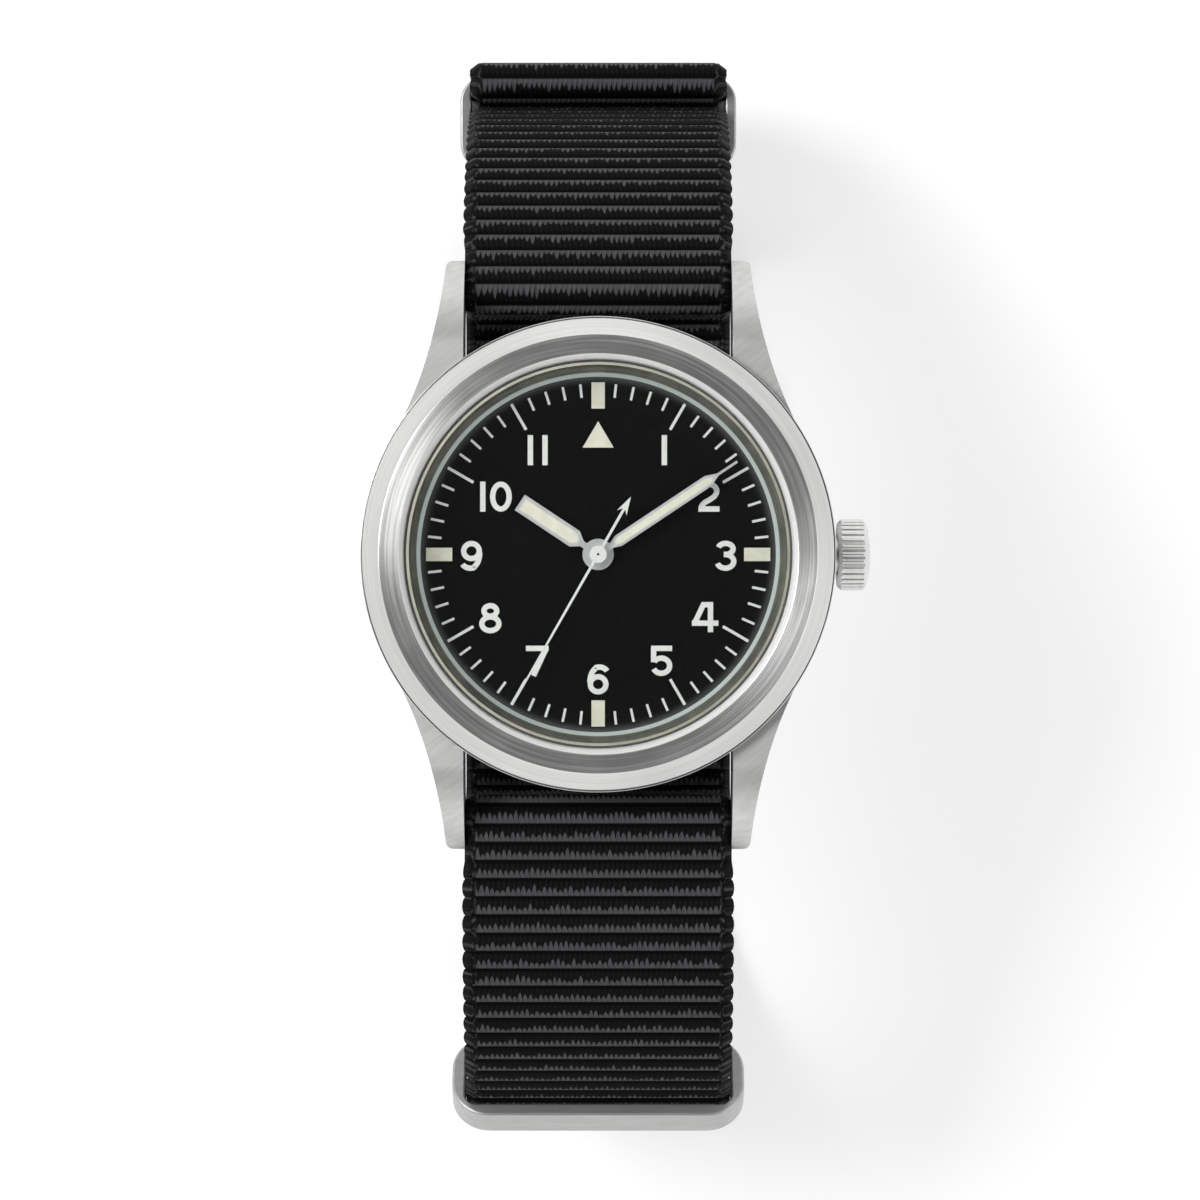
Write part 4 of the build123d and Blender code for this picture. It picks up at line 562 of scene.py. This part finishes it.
def lathe(profile, steps, rounding=0.0, material_of=None):
    """Closed profile of (radius, height) corners in mm, spun about the Z axis."""
    mesh = bmesh.new()
    corners = [mesh.verts.new((radius * mm, 0, height * mm)) for radius, height in profile]
    mesh.faces.new(corners)
    on_axis = 0.001 * mm
    if rounding:
        outer = [vert for vert in mesh.verts if vert.co.x > on_axis]
        bmesh.ops.bevel(mesh, geom=outer, offset=rounding, segments=3, profile=0.5, affect="VERTICES",
                        material=-1)
    outline = [edge for edge in mesh.edges if any(vert.co.x > on_axis for vert in edge.verts)]
    bmesh.ops.delete(mesh, geom=list(mesh.faces), context="FACES_ONLY")
    for edge in [edge for edge in mesh.edges if edge not in outline]:
        mesh.edges.remove(edge)
    ends = list(dict.fromkeys(vert for edge in outline for vert in edge.verts))
    bmesh.ops.spin(mesh, geom=outline + ends, cent=(0, 0, 0), axis=(0, 0, 1), angle=2 * math.pi,
                   steps=steps, use_merge=True)
    join_points(mesh, 0.0005 * mm)
    bmesh.ops.recalc_face_normals(mesh, faces=list(mesh.faces))
    if material_of:
        mesh.normal_update()
        for face in mesh.faces:
            middle = face.calc_center_median()
            face.material_index = material_of(math.hypot(middle.x, middle.y) / mm, middle.z / mm, face.normal)
    return mesh


def eased_piece(name, node, width, finishes):
    """Rigid node's form, in one skin with softened edges. Finishes: faces, edges and any upright sides."""
    mesh = bmesh.new()
    mesh.from_mesh(nodes[node].data)
    join_points(mesh, 0.002 * mm)
    bmesh.ops.dissolve_limit(mesh, angle_limit=math.radians(0.6), verts=list(mesh.verts),
                             edges=list(mesh.edges), use_dissolve_boundaries=False)
    sharp = [edge for edge in mesh.edges
             if len(edge.link_faces) == 2 and edge.calc_face_angle(0) > math.radians(28)]
    rounded = bmesh.ops.bevel(mesh, geom=sharp, offset=width, segments=3, profile=0.5, affect="EDGES",
                              material=-1, clamp_overlap=True)["faces"]
    bmesh.ops.recalc_face_normals(mesh, faces=list(mesh.faces))
    side_slot = 2 if len(finishes) > 2 else 0
    for face in mesh.faces:
        if abs(face.normal.z) < 0.5:
            face.material_index = side_slot
    for face in rounded:
        face.material_index = 1
    bmesh.ops.dissolve_degenerate(mesh, edges=list(mesh.edges), dist=0.001 * mm)
    made = piece(name, mesh, finishes, "watch", [node])
    smooth_by_angle(made.data, 40)
    keep_flats(made)


# Strap routes, in mm: bends seen from the crown's side as (y, z, radius, turn). Turn +1 is to the left.

upper_bend = (22.95, 14.69)
tail_bend = (*upper_bend, 14.14, 1)
main_bends = [
    (28.87462, 4.41584, 0, 1), (*upper_bend, 11.86, -1), (15.5, 3.2, 1.34, 1), (*upper_bend, 13.0, 1),
    (12.8, 17.5, 23.15, 1), (20.2, 37.9, 1.49, 1), (17.31, 36.6, 1.4, -1), (-17.31, 36.6, 1.4, -1),
    (-20.2, 37.9, 1.49, 1), (-26.5, 21.3, 17.8, 1), (-24.3, 20.55, 20.0, 1), (3.0, 2.55, 2.0, 1),
    (6.7, 1.4, 1.19, -1), (10.4, 2.55, 2.0, 1), tail_bend, (38.21, 20.64, 1.12, -1), (39.33, 7.0, 0, 1)]
under_bends = [
    (34.40588, 11.62041, 0, 1), (*upper_bend, 11.86, 1), (12.8, 17.5, 22.01, 1),
    (24.91944, 27.9, 6.0, 1), (-24.91944, 27.9, 6.0, 1), (-39.03727, 25.58405, 1.90183, 1),
    (-31.27901, 30.20896, 0, 1)]


class Route:
    """Middle line of a strap as straight runs and arcs, found by the length along it."""

    def __init__(self, bends):
        self.parts = []
        self.length = 0.0
        last = None
        for first, second in zip(bends, bends[1:]):
            leave, arrive, heading = self.run(first, second)
            if last is not None:
                self.add_arc(first, last, leave)
            self.parts.append((self.length, "run", leave, heading))
            self.length += (arrive - leave).length
            last = arrive

    @staticmethod
    def run(first, second):
        """Where a straight run leaves one bend and touches the next, and its heading."""
        start, end = Vector(first[:2]), Vector(second[:2])
        apart = end - start
        offset = second[3] * second[2] - first[3] * first[2]
        lean = math.asin(max(-1.0, min(1.0, offset / apart.length)))
        heading = math.atan2(apart.y, apart.x) - lean
        left = Vector((-math.sin(heading), math.cos(heading)))
        return start - left * first[3] * first[2], end - left * second[3] * second[2], heading

    def add_arc(self, bend, arrive, leave):
        centre = Vector(bend[:2])
        first = math.atan2(*(arrive - centre).yx)
        last = math.atan2(*(leave - centre).yx)
        swept = ((last - first) * bend[3]) % (2 * math.pi)
        if swept > 2 * math.pi - 0.001:
            swept = 0.0
        self.parts.append((self.length, "arc", centre, (first, bend[2], bend[3])))
        self.length += swept * bend[2]

    def at(self, along):
        """Place and left side at a length along the route, in mm."""
        start, kind, where, detail = self.parts[0]
        for part in self.parts:
            if part[0] <= along + 1e-9:
                start, kind, where, detail = part
        step = along - start
        if kind == "run":
            heading = detail
            place = where + step * Vector((math.cos(heading), math.sin(heading)))
            return place, Vector((-math.sin(heading), math.cos(heading)))
        first, radius, turn = detail
        angle = first + turn * step / radius
        out = Vector((math.cos(angle), math.sin(angle)))
        return where + out * radius, -out * turn

    def nearest(self, y, z):
        """Length along the route at the point nearest to a place in the side view, to 0.1 mm."""
        target = Vector((y, z))
        lengths = [step / 10 for step in range(int(self.length * 10))]
        return min(lengths, key=lambda along: (self.at(along)[0] - target).length)


# Webbing, in mm: rows of its grid within a rib, and columns from its middle to the selvedge

half_thickness = 0.55
selvedge_start = 9.65
end_half_width = 10.1
end_radius = 6.5
row_phases = (0.0, 0.1, 0.28, 0.5, 0.72, 0.9)
half_columns = [0.0, 0.3, 0.6, 0.9, 1.25, 1.8, 3.0, 4.5, 6.0, 7.5, 8.6, 9.3, selvedge_start]


def unit_range(value):
    """A value, kept from 0 to 1."""
    return max(0.0, min(1.0, value))


def rib_swell(phase):
    """Height of a rib, from 0 in the valley to 1 on top."""
    return math.sin(math.pi * phase) ** 0.6


def edge_reach(place, swell):
    """How far the selvedge stands out: held in between the lugs, fuller at the ring and the keeper.
    The place's x is the way to 12 o'clock and its y the height."""
    between_lugs = unit_range((24.6 - abs(place.x)) / 1.6) if place.y >= 33.5 else 0.0
    at_ring = unit_range(-place.x - 40.5)
    under_keeper = unit_range(place.x - 33) * unit_range((18.5 - place.y) / 1.5)
    reach = (0.45 + 0.22 * swell) * (1 - between_lugs) + 0.47 * between_lugs
    reach += (0.66 - reach) * at_ring
    return reach + (0.78 + 0.07 * swell - reach) * under_keeper


def end_half(rest):
    """Half width of the rounded end, at a distance from its tip."""
    return end_half_width - end_radius + math.sqrt(max(0.0, end_radius ** 2 - (end_radius - rest) ** 2))


def cut_openings(mesh, holes, slots):
    """Takes round holes (along, radius) and slots (start, end, half width) out of flat webbing."""
    def inside(point):
        if any(math.hypot(point.x, point.y - along) < radius * 0.9 for along, radius in holes):
            return True
        return any(start < point.y < end and abs(point.x) < half for start, end, half in slots)

    gone = [face for face in mesh.faces if inside(face.calc_center_median())]
    bmesh.ops.delete(mesh, geom=gone, context="FACES")
    for along, radius in holes:
        for edge in [edge for edge in mesh.edges if edge.is_boundary]:
            for vert in edge.verts:
                away = Vector((vert.co.x, vert.co.y - along))
                if 0.01 < away.length < radius * 1.5:
                    away = away.normalized() * radius
                    vert.co = (away.x, along + away.y, 0)


def webbing_piece(name, route, stands_for, holes=(), slots=(), round_end=False, turn=0.0):
    """Ribbed webbing along its route, with holes and slots. Its weave is mirrored past the turn."""
    pitch = sizes().rib_pitch / mm
    depth = sizes().rib_depth / mm
    count = max(1, round(route.length / pitch))
    pitch_here = route.length / count
    rows = [(rib + phase) * pitch_here for rib in range(count) for phase in row_phases] + [route.length]
    columns = [-x for x in reversed(half_columns[1:])] + half_columns
    mesh = bmesh.new()
    bmesh.ops.create_grid(mesh, x_segments=len(columns) - 1, y_segments=len(rows) - 1, size=0.5)
    for vert in mesh.verts:
        column = round((vert.co.x + 0.5) * (len(columns) - 1))
        row = round((vert.co.y + 0.5) * (len(rows) - 1))
        vert.co = (columns[column], rows[row], 0)
    if holes or slots:
        cut_openings(mesh, holes, slots)
    bmesh.ops.solidify(mesh, geom=list(mesh.faces), thickness=2 * half_thickness)
    rims = [edge for edge in mesh.edges
            if abs(edge.verts[0].co.z - edge.verts[1].co.z) > half_thickness]
    bmesh.ops.subdivide_edges(mesh, edges=rims, cuts=1, use_grid_fill=True)
    heights = [vert.co.z for vert in mesh.verts]
    middle = (max(heights) + min(heights)) / 2
    weave = mesh.loops.layers.uv.new("weave")
    for face in mesh.faces:
        way = -1 if face.calc_center_median().y > turn else 1
        for loop in face.loops:
            loop[weave].uv = (loop.vert.co.x * mm, way * loop.vert.co.y / pitch_here * pitch * mm)
    for vert in mesh.verts:
        x, along, height = vert.co.x, vert.co.y, (vert.co.z - middle) / half_thickness
        rest = route.length - along
        at_selvedge = abs(x) / selvedge_start > 0.99
        place, left = route.at(min(max(along, 0.0), route.length))
        swell = rib_swell((along / pitch_here) % 1.0) if 0.0 < along < route.length else 0.0
        thick = half_thickness - depth * (1 - swell) * (0.75 if at_selvedge else 1.0)
        if at_selvedge:
            thick = min(thick, half_thickness * 0.78)
        near_end = min(1.0, min(along, rest) / (0.35 * pitch_here))
        thick *= 0.7 + 0.3 * near_end
        if at_selvedge and abs(height) < 0.5:
            x = math.copysign(selvedge_start + edge_reach(place, swell), x)
        if round_end and rest < end_radius:
            x = math.copysign(min(abs(x), end_half(rest)), x)
        flat = place - left * height * thick
        vert.co = (x * mm, flat.x * mm, flat.y * mm)
    join_points(mesh, 0.0005 * mm)
    bmesh.ops.recalc_face_normals(mesh, faces=list(mesh.faces))
    made = piece(name, mesh, ["webbing"], "watch", [stands_for])
    for face in made.data.polygons:
        face.use_smooth = True


# Dial print: strokes of each number about its middle, in photograph units of 1/13.32 mm

unit = 1 / 13.32


def bow(x, y, wide, high, start, end, steps=28):
    """Points of an elliptical arc, from one angle to another in degrees."""
    points = []
    for index in range(steps + 1):
        angle = math.radians(start + (end - start) * index / steps)
        points.append((x + wide * math.cos(angle), y + high * math.sin(angle)))
    return points


nine = [bow(0.0, 4.7, 7.75, 7.5, 0, 360),
        bow(-1.2, 3.2, 9.45, 15.6, 0, -68) + bow(-1.1, -4.6, 9.0, 7.8, -62, -150)]
two_slope = [(5.6, 0.2), (0.9, -3.1), (-4.2, -5.9), (-6.9, -8.8), (-7.7, -12.35)]
digit_strokes = {
    "0": [bow(0, 0, 8.25, 12.35, 0, 360)],
    "1": [[(0, -15), (0, 15)]],
    "2": [bow(0.0, 5.6, 7.9, 6.75, 165, -25) + two_slope, [(-10.3, -12.35), (10.7, -12.35)]],
    "3": [bow(0.2, 6.85, 7.4, 5.5, 163, -62) + [(1.6, 1.5), (-1.6, 1.35)],
          [(-1.6, 1.35)] + bow(0.0, -5.55, 8.3, 6.8, 88, -162)],
    "4": [[(5.5, 15), (5.5, -15)], [(-13.0, -6.0), (13.4, -6.0)], [(-10.7, -7.0), (-1.6, 12.4)],
          [(-3.6, 12.4), (8.1, 12.4)]],
    "5": [[(11.0, 12.35), (-9.9, 12.35)], [(-7.5, 13.0), (-7.5, -1.4)],
          bow(0.2, -4.9, 8.3, 7.55, 148, -155)],
    "6": [[(-x, -y) for x, y in stroke] for stroke in nine],
    "7": [[(-11.4, 12.35), (11.2, 12.35)], [(8.9, 12.6), (-3.9, -15)]],
    "8": [bow(0, 7.2, 6.4, 5.2, 0, 360), bow(0, -5.6, 8.5, 6.85, 0, 360)],
    "9": nine,
}
number_places = [
    ("1", 66.0, 104.0), ("2", 110.3, 57.7), ("3", 126.9, -1.3), ("4", 106.5, -62.5), ("5", 62.8, -106.0),
    ("6", 0.0, -124.7), ("7", -60.6, -106.0), ("8", -107.5, -63.5), ("9", -126.3, -1.3),
    ("1", -115.0, 57.7), ("0", -97.0, 57.7), ("1", -67.6, 104.0), ("1", -53.0, 104.0)]


def stroke_mesh(strokes, width):
    """Round strokes as a curve with thickness, turned into a mesh. Later strokes lie a little higher."""
    curve = bpy.data.curves.new("number", "CURVE")
    curve.dimensions = "3D"
    curve.bevel_depth = width / 2
    curve.bevel_resolution = 1
    curve.use_fill_caps = True
    for order, stroke in enumerate(strokes):
        lift = order * width * 0.03
        closed = math.dist(stroke[0], stroke[-1]) < 1e-4
        points = stroke[:-1] if closed else stroke
        spline = curve.splines.new("POLY")
        spline.points.add(len(points) - 1)
        for point, (x, y) in zip(spline.points, points):
            point.co = (x * unit * mm, y * unit * mm, lift, 1)
        spline.use_cyclic_u = closed
    made = bpy.data.objects.new("number", curve)
    bpy.context.scene.collection.objects.link(made)
    mesh = bpy.data.meshes.new_from_object(made)
    bpy.data.objects.remove(made)
    bpy.data.curves.remove(curve)
    return mesh


# Stage: camera over the dial, and each lamp's place, size and power in metres and watts

camera_lens = 119.07
camera_place = (0.14 * mm, -3.42 * mm, 340 * mm)
lamp_aim = Vector((0, 0, 0.03))
lamps = {
    "key_lamp": ((-0.40, 0.146, 0.506), 0.26, 2.1),
    "side_lamp": ((0.50, -0.10, 0.34), 0.34, 0.6),
    "low_lamp": ((-0.10, -0.55, 0.30), 0.36, 0.2),
    "back_lamp": ((0.0, 0.55, 0.26), 0.36, 0.22),
}


class WATCH_OT_camera_and_stage(bpy.types.Operator):
    """Camera over the dial, pale floor and soft studio light"""
    bl_idname = "watch.camera_and_stage"
    bl_label = "Camera and Stage"

    def execute(self, context):
        scene = context.scene
        scene.view_settings.view_transform = "Standard"
        camera_data = bpy.data.cameras.new("camera")
        camera_data.lens = camera_lens
        camera_data.sensor_width = 36.0
        camera_data.clip_start = 0.01
        camera = bpy.data.objects.new("camera", camera_data)
        camera.location = camera_place
        scene.collection.objects.link(camera)
        scene.camera = camera
        self.floor(scene)
        self.world(scene)
        for name, (place, size, energy) in lamps.items():
            self.lamp(scene, name, place, size, energy)
        return {"FINISHED"}

    def floor(self, scene):
        """Flat floor just under the watch, lit enough to look white to the camera."""
        mesh = bmesh.new()
        bmesh.ops.create_grid(mesh, x_segments=2, y_segments=2, size=3.0)
        data = bpy.data.meshes.new("floor")
        mesh.to_mesh(data)
        mesh.free()
        floor = bpy.data.objects.new("floor", data)
        floor.location = (0, 0, -0.02 * mm)
        scene.collection.objects.link(floor)
        material, tree, shader = blank("floor")
        path = tree.add("ShaderNodeLightPath").outputs
        seen = tree.math("MAXIMUM", path["Is Camera Ray"],
                         tree.math("MAXIMUM", path["Is Glossy Ray"], path["Is Transmission Ray"]))
        tree.feed(shader, {"Base Color": tone_of("floor"), "Roughness": 0.9,
                           "Emission Color": (1, 1, 1, 1), "Emission Strength": tree.times(seen, 0.46)})
        data.materials.append(material)

    def world(self, scene):
        """White studio, darker overhead and a little at the sides."""
        world = bpy.data.worlds.new("studio")
        world.use_nodes = True
        scene.world = world
        tree = Tree(world.node_tree)
        parts = tree.split(tree.add("ShaderNodeTexCoord").outputs["Generated"])
        overhead = tree.remap(parts[2], 0.55, 0.96, 0.95, 0.05)
        sideways = tree.times(tree.times(parts[0], parts[0]), -0.3)
        level = tree.times(overhead, tree.plus(sideways, 1.0))
        path = tree.add("ShaderNodeLightPath").outputs
        tree.feed(world.node_tree.nodes["Background"], {
            "Color": (1, 1, 1, 1), "Strength": tree.math("MAXIMUM", level, path["Is Camera Ray"])})

    def lamp(self, scene, name, place, size, energy):
        data = bpy.data.lights.new(name, "AREA")
        data.size = size
        data.energy = energy
        made = bpy.data.objects.new(name, data)
        made.location = place
        made.rotation_euler = (lamp_aim - Vector(place)).to_track_quat("-Z", "Y").to_euler()
        scene.collection.objects.link(made)


# Operators for the pieces

class WATCH_OT_case(bpy.types.Operator):
    """Case with softened edges, its bezel, back and crown"""
    bl_idname = "watch.case"
    bl_label = "Case"

    def execute(self, context):
        eased_piece("case_body", "mid_case", sizes().edge_round, ["case_steel", "edge_steel", "side_steel"])
        profile = [(15.55, 43.02), (17.8, 43.02), (17.8, 43.5), (17.72, 43.55), (17.71, 43.3),
                   (17.62, 43.3), (17.62, 43.9), (16.33, 45.2), (14.9, 45.2), (14.56, 44.86),
                   (14.55, 43.85), (15.55, 43.85)]

        def zone(radius, height, normal):
            # The polished inner bevel takes the painted highlight.
            if radius < 14.88:
                return 2
            return 1 if normal.z > 0.95 else 0

        bezel = piece("bezel_ring", lathe(profile, 256, 0.05 * mm, zone),
                      ["flank_steel", "bezel_steel", "bright_edge"], "watch", ["bezel"])
        smooth_by_angle(bezel.data, 25)
        keep_flats(bezel)
        dress("case_steel", "case_back")
        dress("crown_steel", "crown")
        dress("bar_steel", "crown_tube")
        dress("gasket_rubber", "case_back_gasket", "crystal_gasket", "crown_gasket")
        return {"FINISHED"}


class WATCH_OT_crystal(bpy.types.Operator):
    """Clear domed crystal over the dial"""
    bl_idname = "watch.crystal"
    bl_label = "Crystal"

    def execute(self, context):
        inner_radius, inner_edge = 13.7, 44.45
        outer_radius, outer_edge = 14.05, 45.4
        profile = [(inner_radius, 43.3), (14.45, 43.3), (14.45, 45.0), (14.27, 45.18),
                   (outer_radius, outer_edge)]
        profile += self.dome(outer_radius, outer_edge)
        profile += list(reversed(self.dome(inner_radius, inner_edge)))
        profile.append((inner_radius, inner_edge))

        def zone(radius, height, normal):
            # The outer chamfer takes the painted highlight.
            return 1 if 14.06 < radius < 14.27 and height > 45.0 else 0

        crystal = piece("crystal_dome", lathe(profile, 192, 0, zone), ["crystal", "crystal_rim"], "watch",
                        ["crystal"])
        smooth_by_angle(crystal.data, 28)
        dress("rehaut_plating", "rehaut_ring")
        return {"FINISHED"}

    @staticmethod
    def dome(edge_radius, edge_height, steps=18):
        """Points of a dome from its edge to its middle."""
        rise = 1.4
        ball = (edge_radius ** 2 + rise ** 2) / (2 * rise)
        points = []
        for index in range(1, steps + 1):
            radius = edge_radius * (1 - index / steps)
            points.append((radius, edge_height + rise - ball + math.sqrt(ball ** 2 - radius ** 2)))
        return points


class WATCH_OT_dial(bpy.types.Operator):
    """Dial with its numbers, ticks and luminous blocks"""
    bl_idname = "watch.dial"
    bl_label = "Dial"

    def execute(self, context):
        dress("dial_black", "dial")
        dress("lume", "dial_lume")
        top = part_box("dial")[1][2]
        self.ticks(top)
        self.numbers(top)
        return {"FINISHED"}

    def ticks(self, top):
        """One bar per minute, longer at the hours, and none under the four luminous blocks."""
        mesh = bmesh.new()
        height = sizes().print_height
        for minute in range(60):
            if minute % 15 == 0:
                continue
            inner, outer, width = (143.6, 173.0, 2.9) if minute % 5 == 0 else (157.0, 170.5, 2.5)
            made = bmesh.ops.create_cube(mesh, size=1.0)["verts"]
            bmesh.ops.scale(mesh, vec=(width * unit * mm, (outer - inner) * unit * mm, height), verts=made)
            bmesh.ops.translate(mesh, vec=(0, (outer + inner) / 2 * unit * mm, top + height / 4), verts=made)
            bmesh.ops.rotate(mesh, cent=(0, 0, 0), matrix=Matrix.Rotation(-math.radians(6 * minute), 3, "Z"),
                             verts=made)
        piece("dial_ticks", mesh, ["dial_print"], "watch")

    def numbers(self, top):
        """Hour numbers, their round strokes pressed flat to the height of the print."""
        stroke = sizes().numeral_stroke
        height = sizes().print_height
        mesh = bmesh.new()
        for digit, x, y in number_places:
            strokes = stroke_mesh(digit_strokes[digit], stroke)
            strokes.transform(Matrix.Translation((x * unit * mm, y * unit * mm, top + height / 2)) @
                              Matrix.Diagonal((1, 1, height / stroke, 1)))
            mesh.from_mesh(strokes)
            bpy.data.meshes.remove(strokes)
        made = piece("dial_numbers", mesh, ["dial_print"], "watch")
        smooth_by_angle(made.data, 40)


class WATCH_OT_hands(bpy.types.Operator):
    """Hour, minute and seconds hands"""
    bl_idname = "watch.hands"
    bl_label = "Hands"

    def execute(self, context):
        dress("hand_steel", "hour_hand", "minute_hand")
        dress("hand_white", "seconds_hand")
        dress("lume", "hour_lume", "minute_lume")
        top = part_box("seconds_hand")[1][2] / mm
        pin = lathe([(0, top - 0.05), (0.09, top - 0.05), (0.09, top + 0.012), (0, top + 0.012)], 24)
        piece("seconds_pin", pin, ["dial_black"], "seconds")
        return {"FINISHED"}


class WATCH_OT_strap(bpy.types.Operator):
    """Ribbed one-length strap and the short strap under the case"""
    bl_idname = "watch.strap"
    bl_label = "Strap"

    def execute(self, context):
        main = Route(main_bends)
        hole_radius, slot_half = 0.95, 0.9
        holes = [(main.nearest(y, 0.55), hole_radius) for y in (-3.4, -10.2, -17.0)]
        y, z, radius = tail_bend[:3]
        for degrees in (-80.0, -52.0, -24.0):
            angle = math.radians(degrees)
            place = main.nearest(y + radius * math.cos(angle), z + radius * math.sin(angle))
            holes.append((place, hole_radius))
        fold = main.nearest(14.2, 2.9)
        slots = [(main.nearest(7.6, 1.2), main.nearest(13.0, 0.7), slot_half),
                 (fold - 3.0, fold + 3.0, slot_half)]
        under_head = main.nearest(0.0, 35.2)
        webbing_piece("main_webbing", main, "main_strap", holes, slots, True, under_head)
        webbing_piece("under_webbing", Route(under_bends), "under_strap")
        return {"FINISHED"}


class WATCH_OT_rings(bpy.types.Operator):
    """Strap ring, keepers and buckle"""
    bl_idname = "watch.rings"
    bl_label = "Rings and Buckle"

    def execute(self, context):
        width = 2 * sizes().edge_round
        for name in ("strap_ring", "upper_keeper", "lower_keeper"):
            eased_piece(name + "_loop", name, width, ["ring_steel", "edge_steel"])
        eased_piece("buckle_loop", "buckle_frame", width, ["buckle_steel", "edge_steel"])
        dress("buckle_steel", "buckle_bar", "buckle_tongue")
        dress("bar_steel", "spring_bar_tubes", "tip_12_left", "tip_12_right", "tip_6_left", "tip_6_right")
        dress("spring_steel", "spring_bar_springs")
        return {"FINISHED"}


class WATCH_OT_movement(bpy.types.Operator):
    """Plates, wheels and small parts inside the case"""
    bl_idname = "watch.movement"
    bl_label = "Movement"

    def execute(self, context):
        dress("ring_plastic", "movement_ring")
        dress("plate_brass", "main_plate", "barrel_bridge", "train_bridge", "balance_cock", "pallet_bridge")
        dress("wheel_brass", "barrel", "intermediate_wheel", "third_wheel", "seconds_wheel",
              "balance_wheel", "minute_wheel", "hour_wheel")
        dress("movement_steel", "bridge_screws", "barrel_arbor", "escape_wheel", "pallet_fork",
              "cannon_pinion", "winding_stem", "sliding_pinion", "winding_pinion", "crown_wheel",
              "ratchet_wheel", "click", "setting_lever")
        dress("spring_steel", "mainspring", "hairspring", "click_spring")
        dress("ruby", "jewels")
        return {"FINISHED"}


# Panel and registration

class WATCH_PT_panel(bpy.types.Panel):
    """Sidebar panel that lists the settings and the pieces"""
    bl_label = "Field Watch"
    bl_idname = "WATCH_PT_panel"
    bl_space_type = "VIEW_3D"
    bl_region_type = "UI"
    bl_category = "Field Watch"

    def draw(self, context):
        for owner in (context.scene.watch_sizes, context.scene.watch_colours):
            box = self.layout.box()
            for name in owner.bl_rna.properties.keys():
                if name not in ("rna_type", "name"):
                    box.prop(owner, name)
        for operator in operators:
            self.layout.operator(operator.bl_idname)


operators = (WATCH_OT_camera_and_stage, WATCH_OT_strap, WATCH_OT_case, WATCH_OT_crystal, WATCH_OT_dial,
             WATCH_OT_hands, WATCH_OT_rings, WATCH_OT_movement)
classes = (WatchSizes, WatchColours) + operators + (WATCH_PT_panel,)


def register():
    for each in classes:
        bpy.utils.register_class(each)
    bpy.types.Scene.watch_sizes = bpy.props.PointerProperty(type=WatchSizes)
    bpy.types.Scene.watch_colours = bpy.props.PointerProperty(type=WatchColours)


def unregister():
    del bpy.types.Scene.watch_colours
    del bpy.types.Scene.watch_sizes
    for each in reversed(classes):
        bpy.utils.unregister_class(each)


def main():
    register()
    bpy.ops.watch.camera_and_stage()
    bpy.ops.watch.strap()
    bpy.ops.watch.case()
    bpy.ops.watch.crystal()
    bpy.ops.watch.dial()
    bpy.ops.watch.hands()
    bpy.ops.watch.rings()
    bpy.ops.watch.movement()
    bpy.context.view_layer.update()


if __name__ == "__main__":
    main()
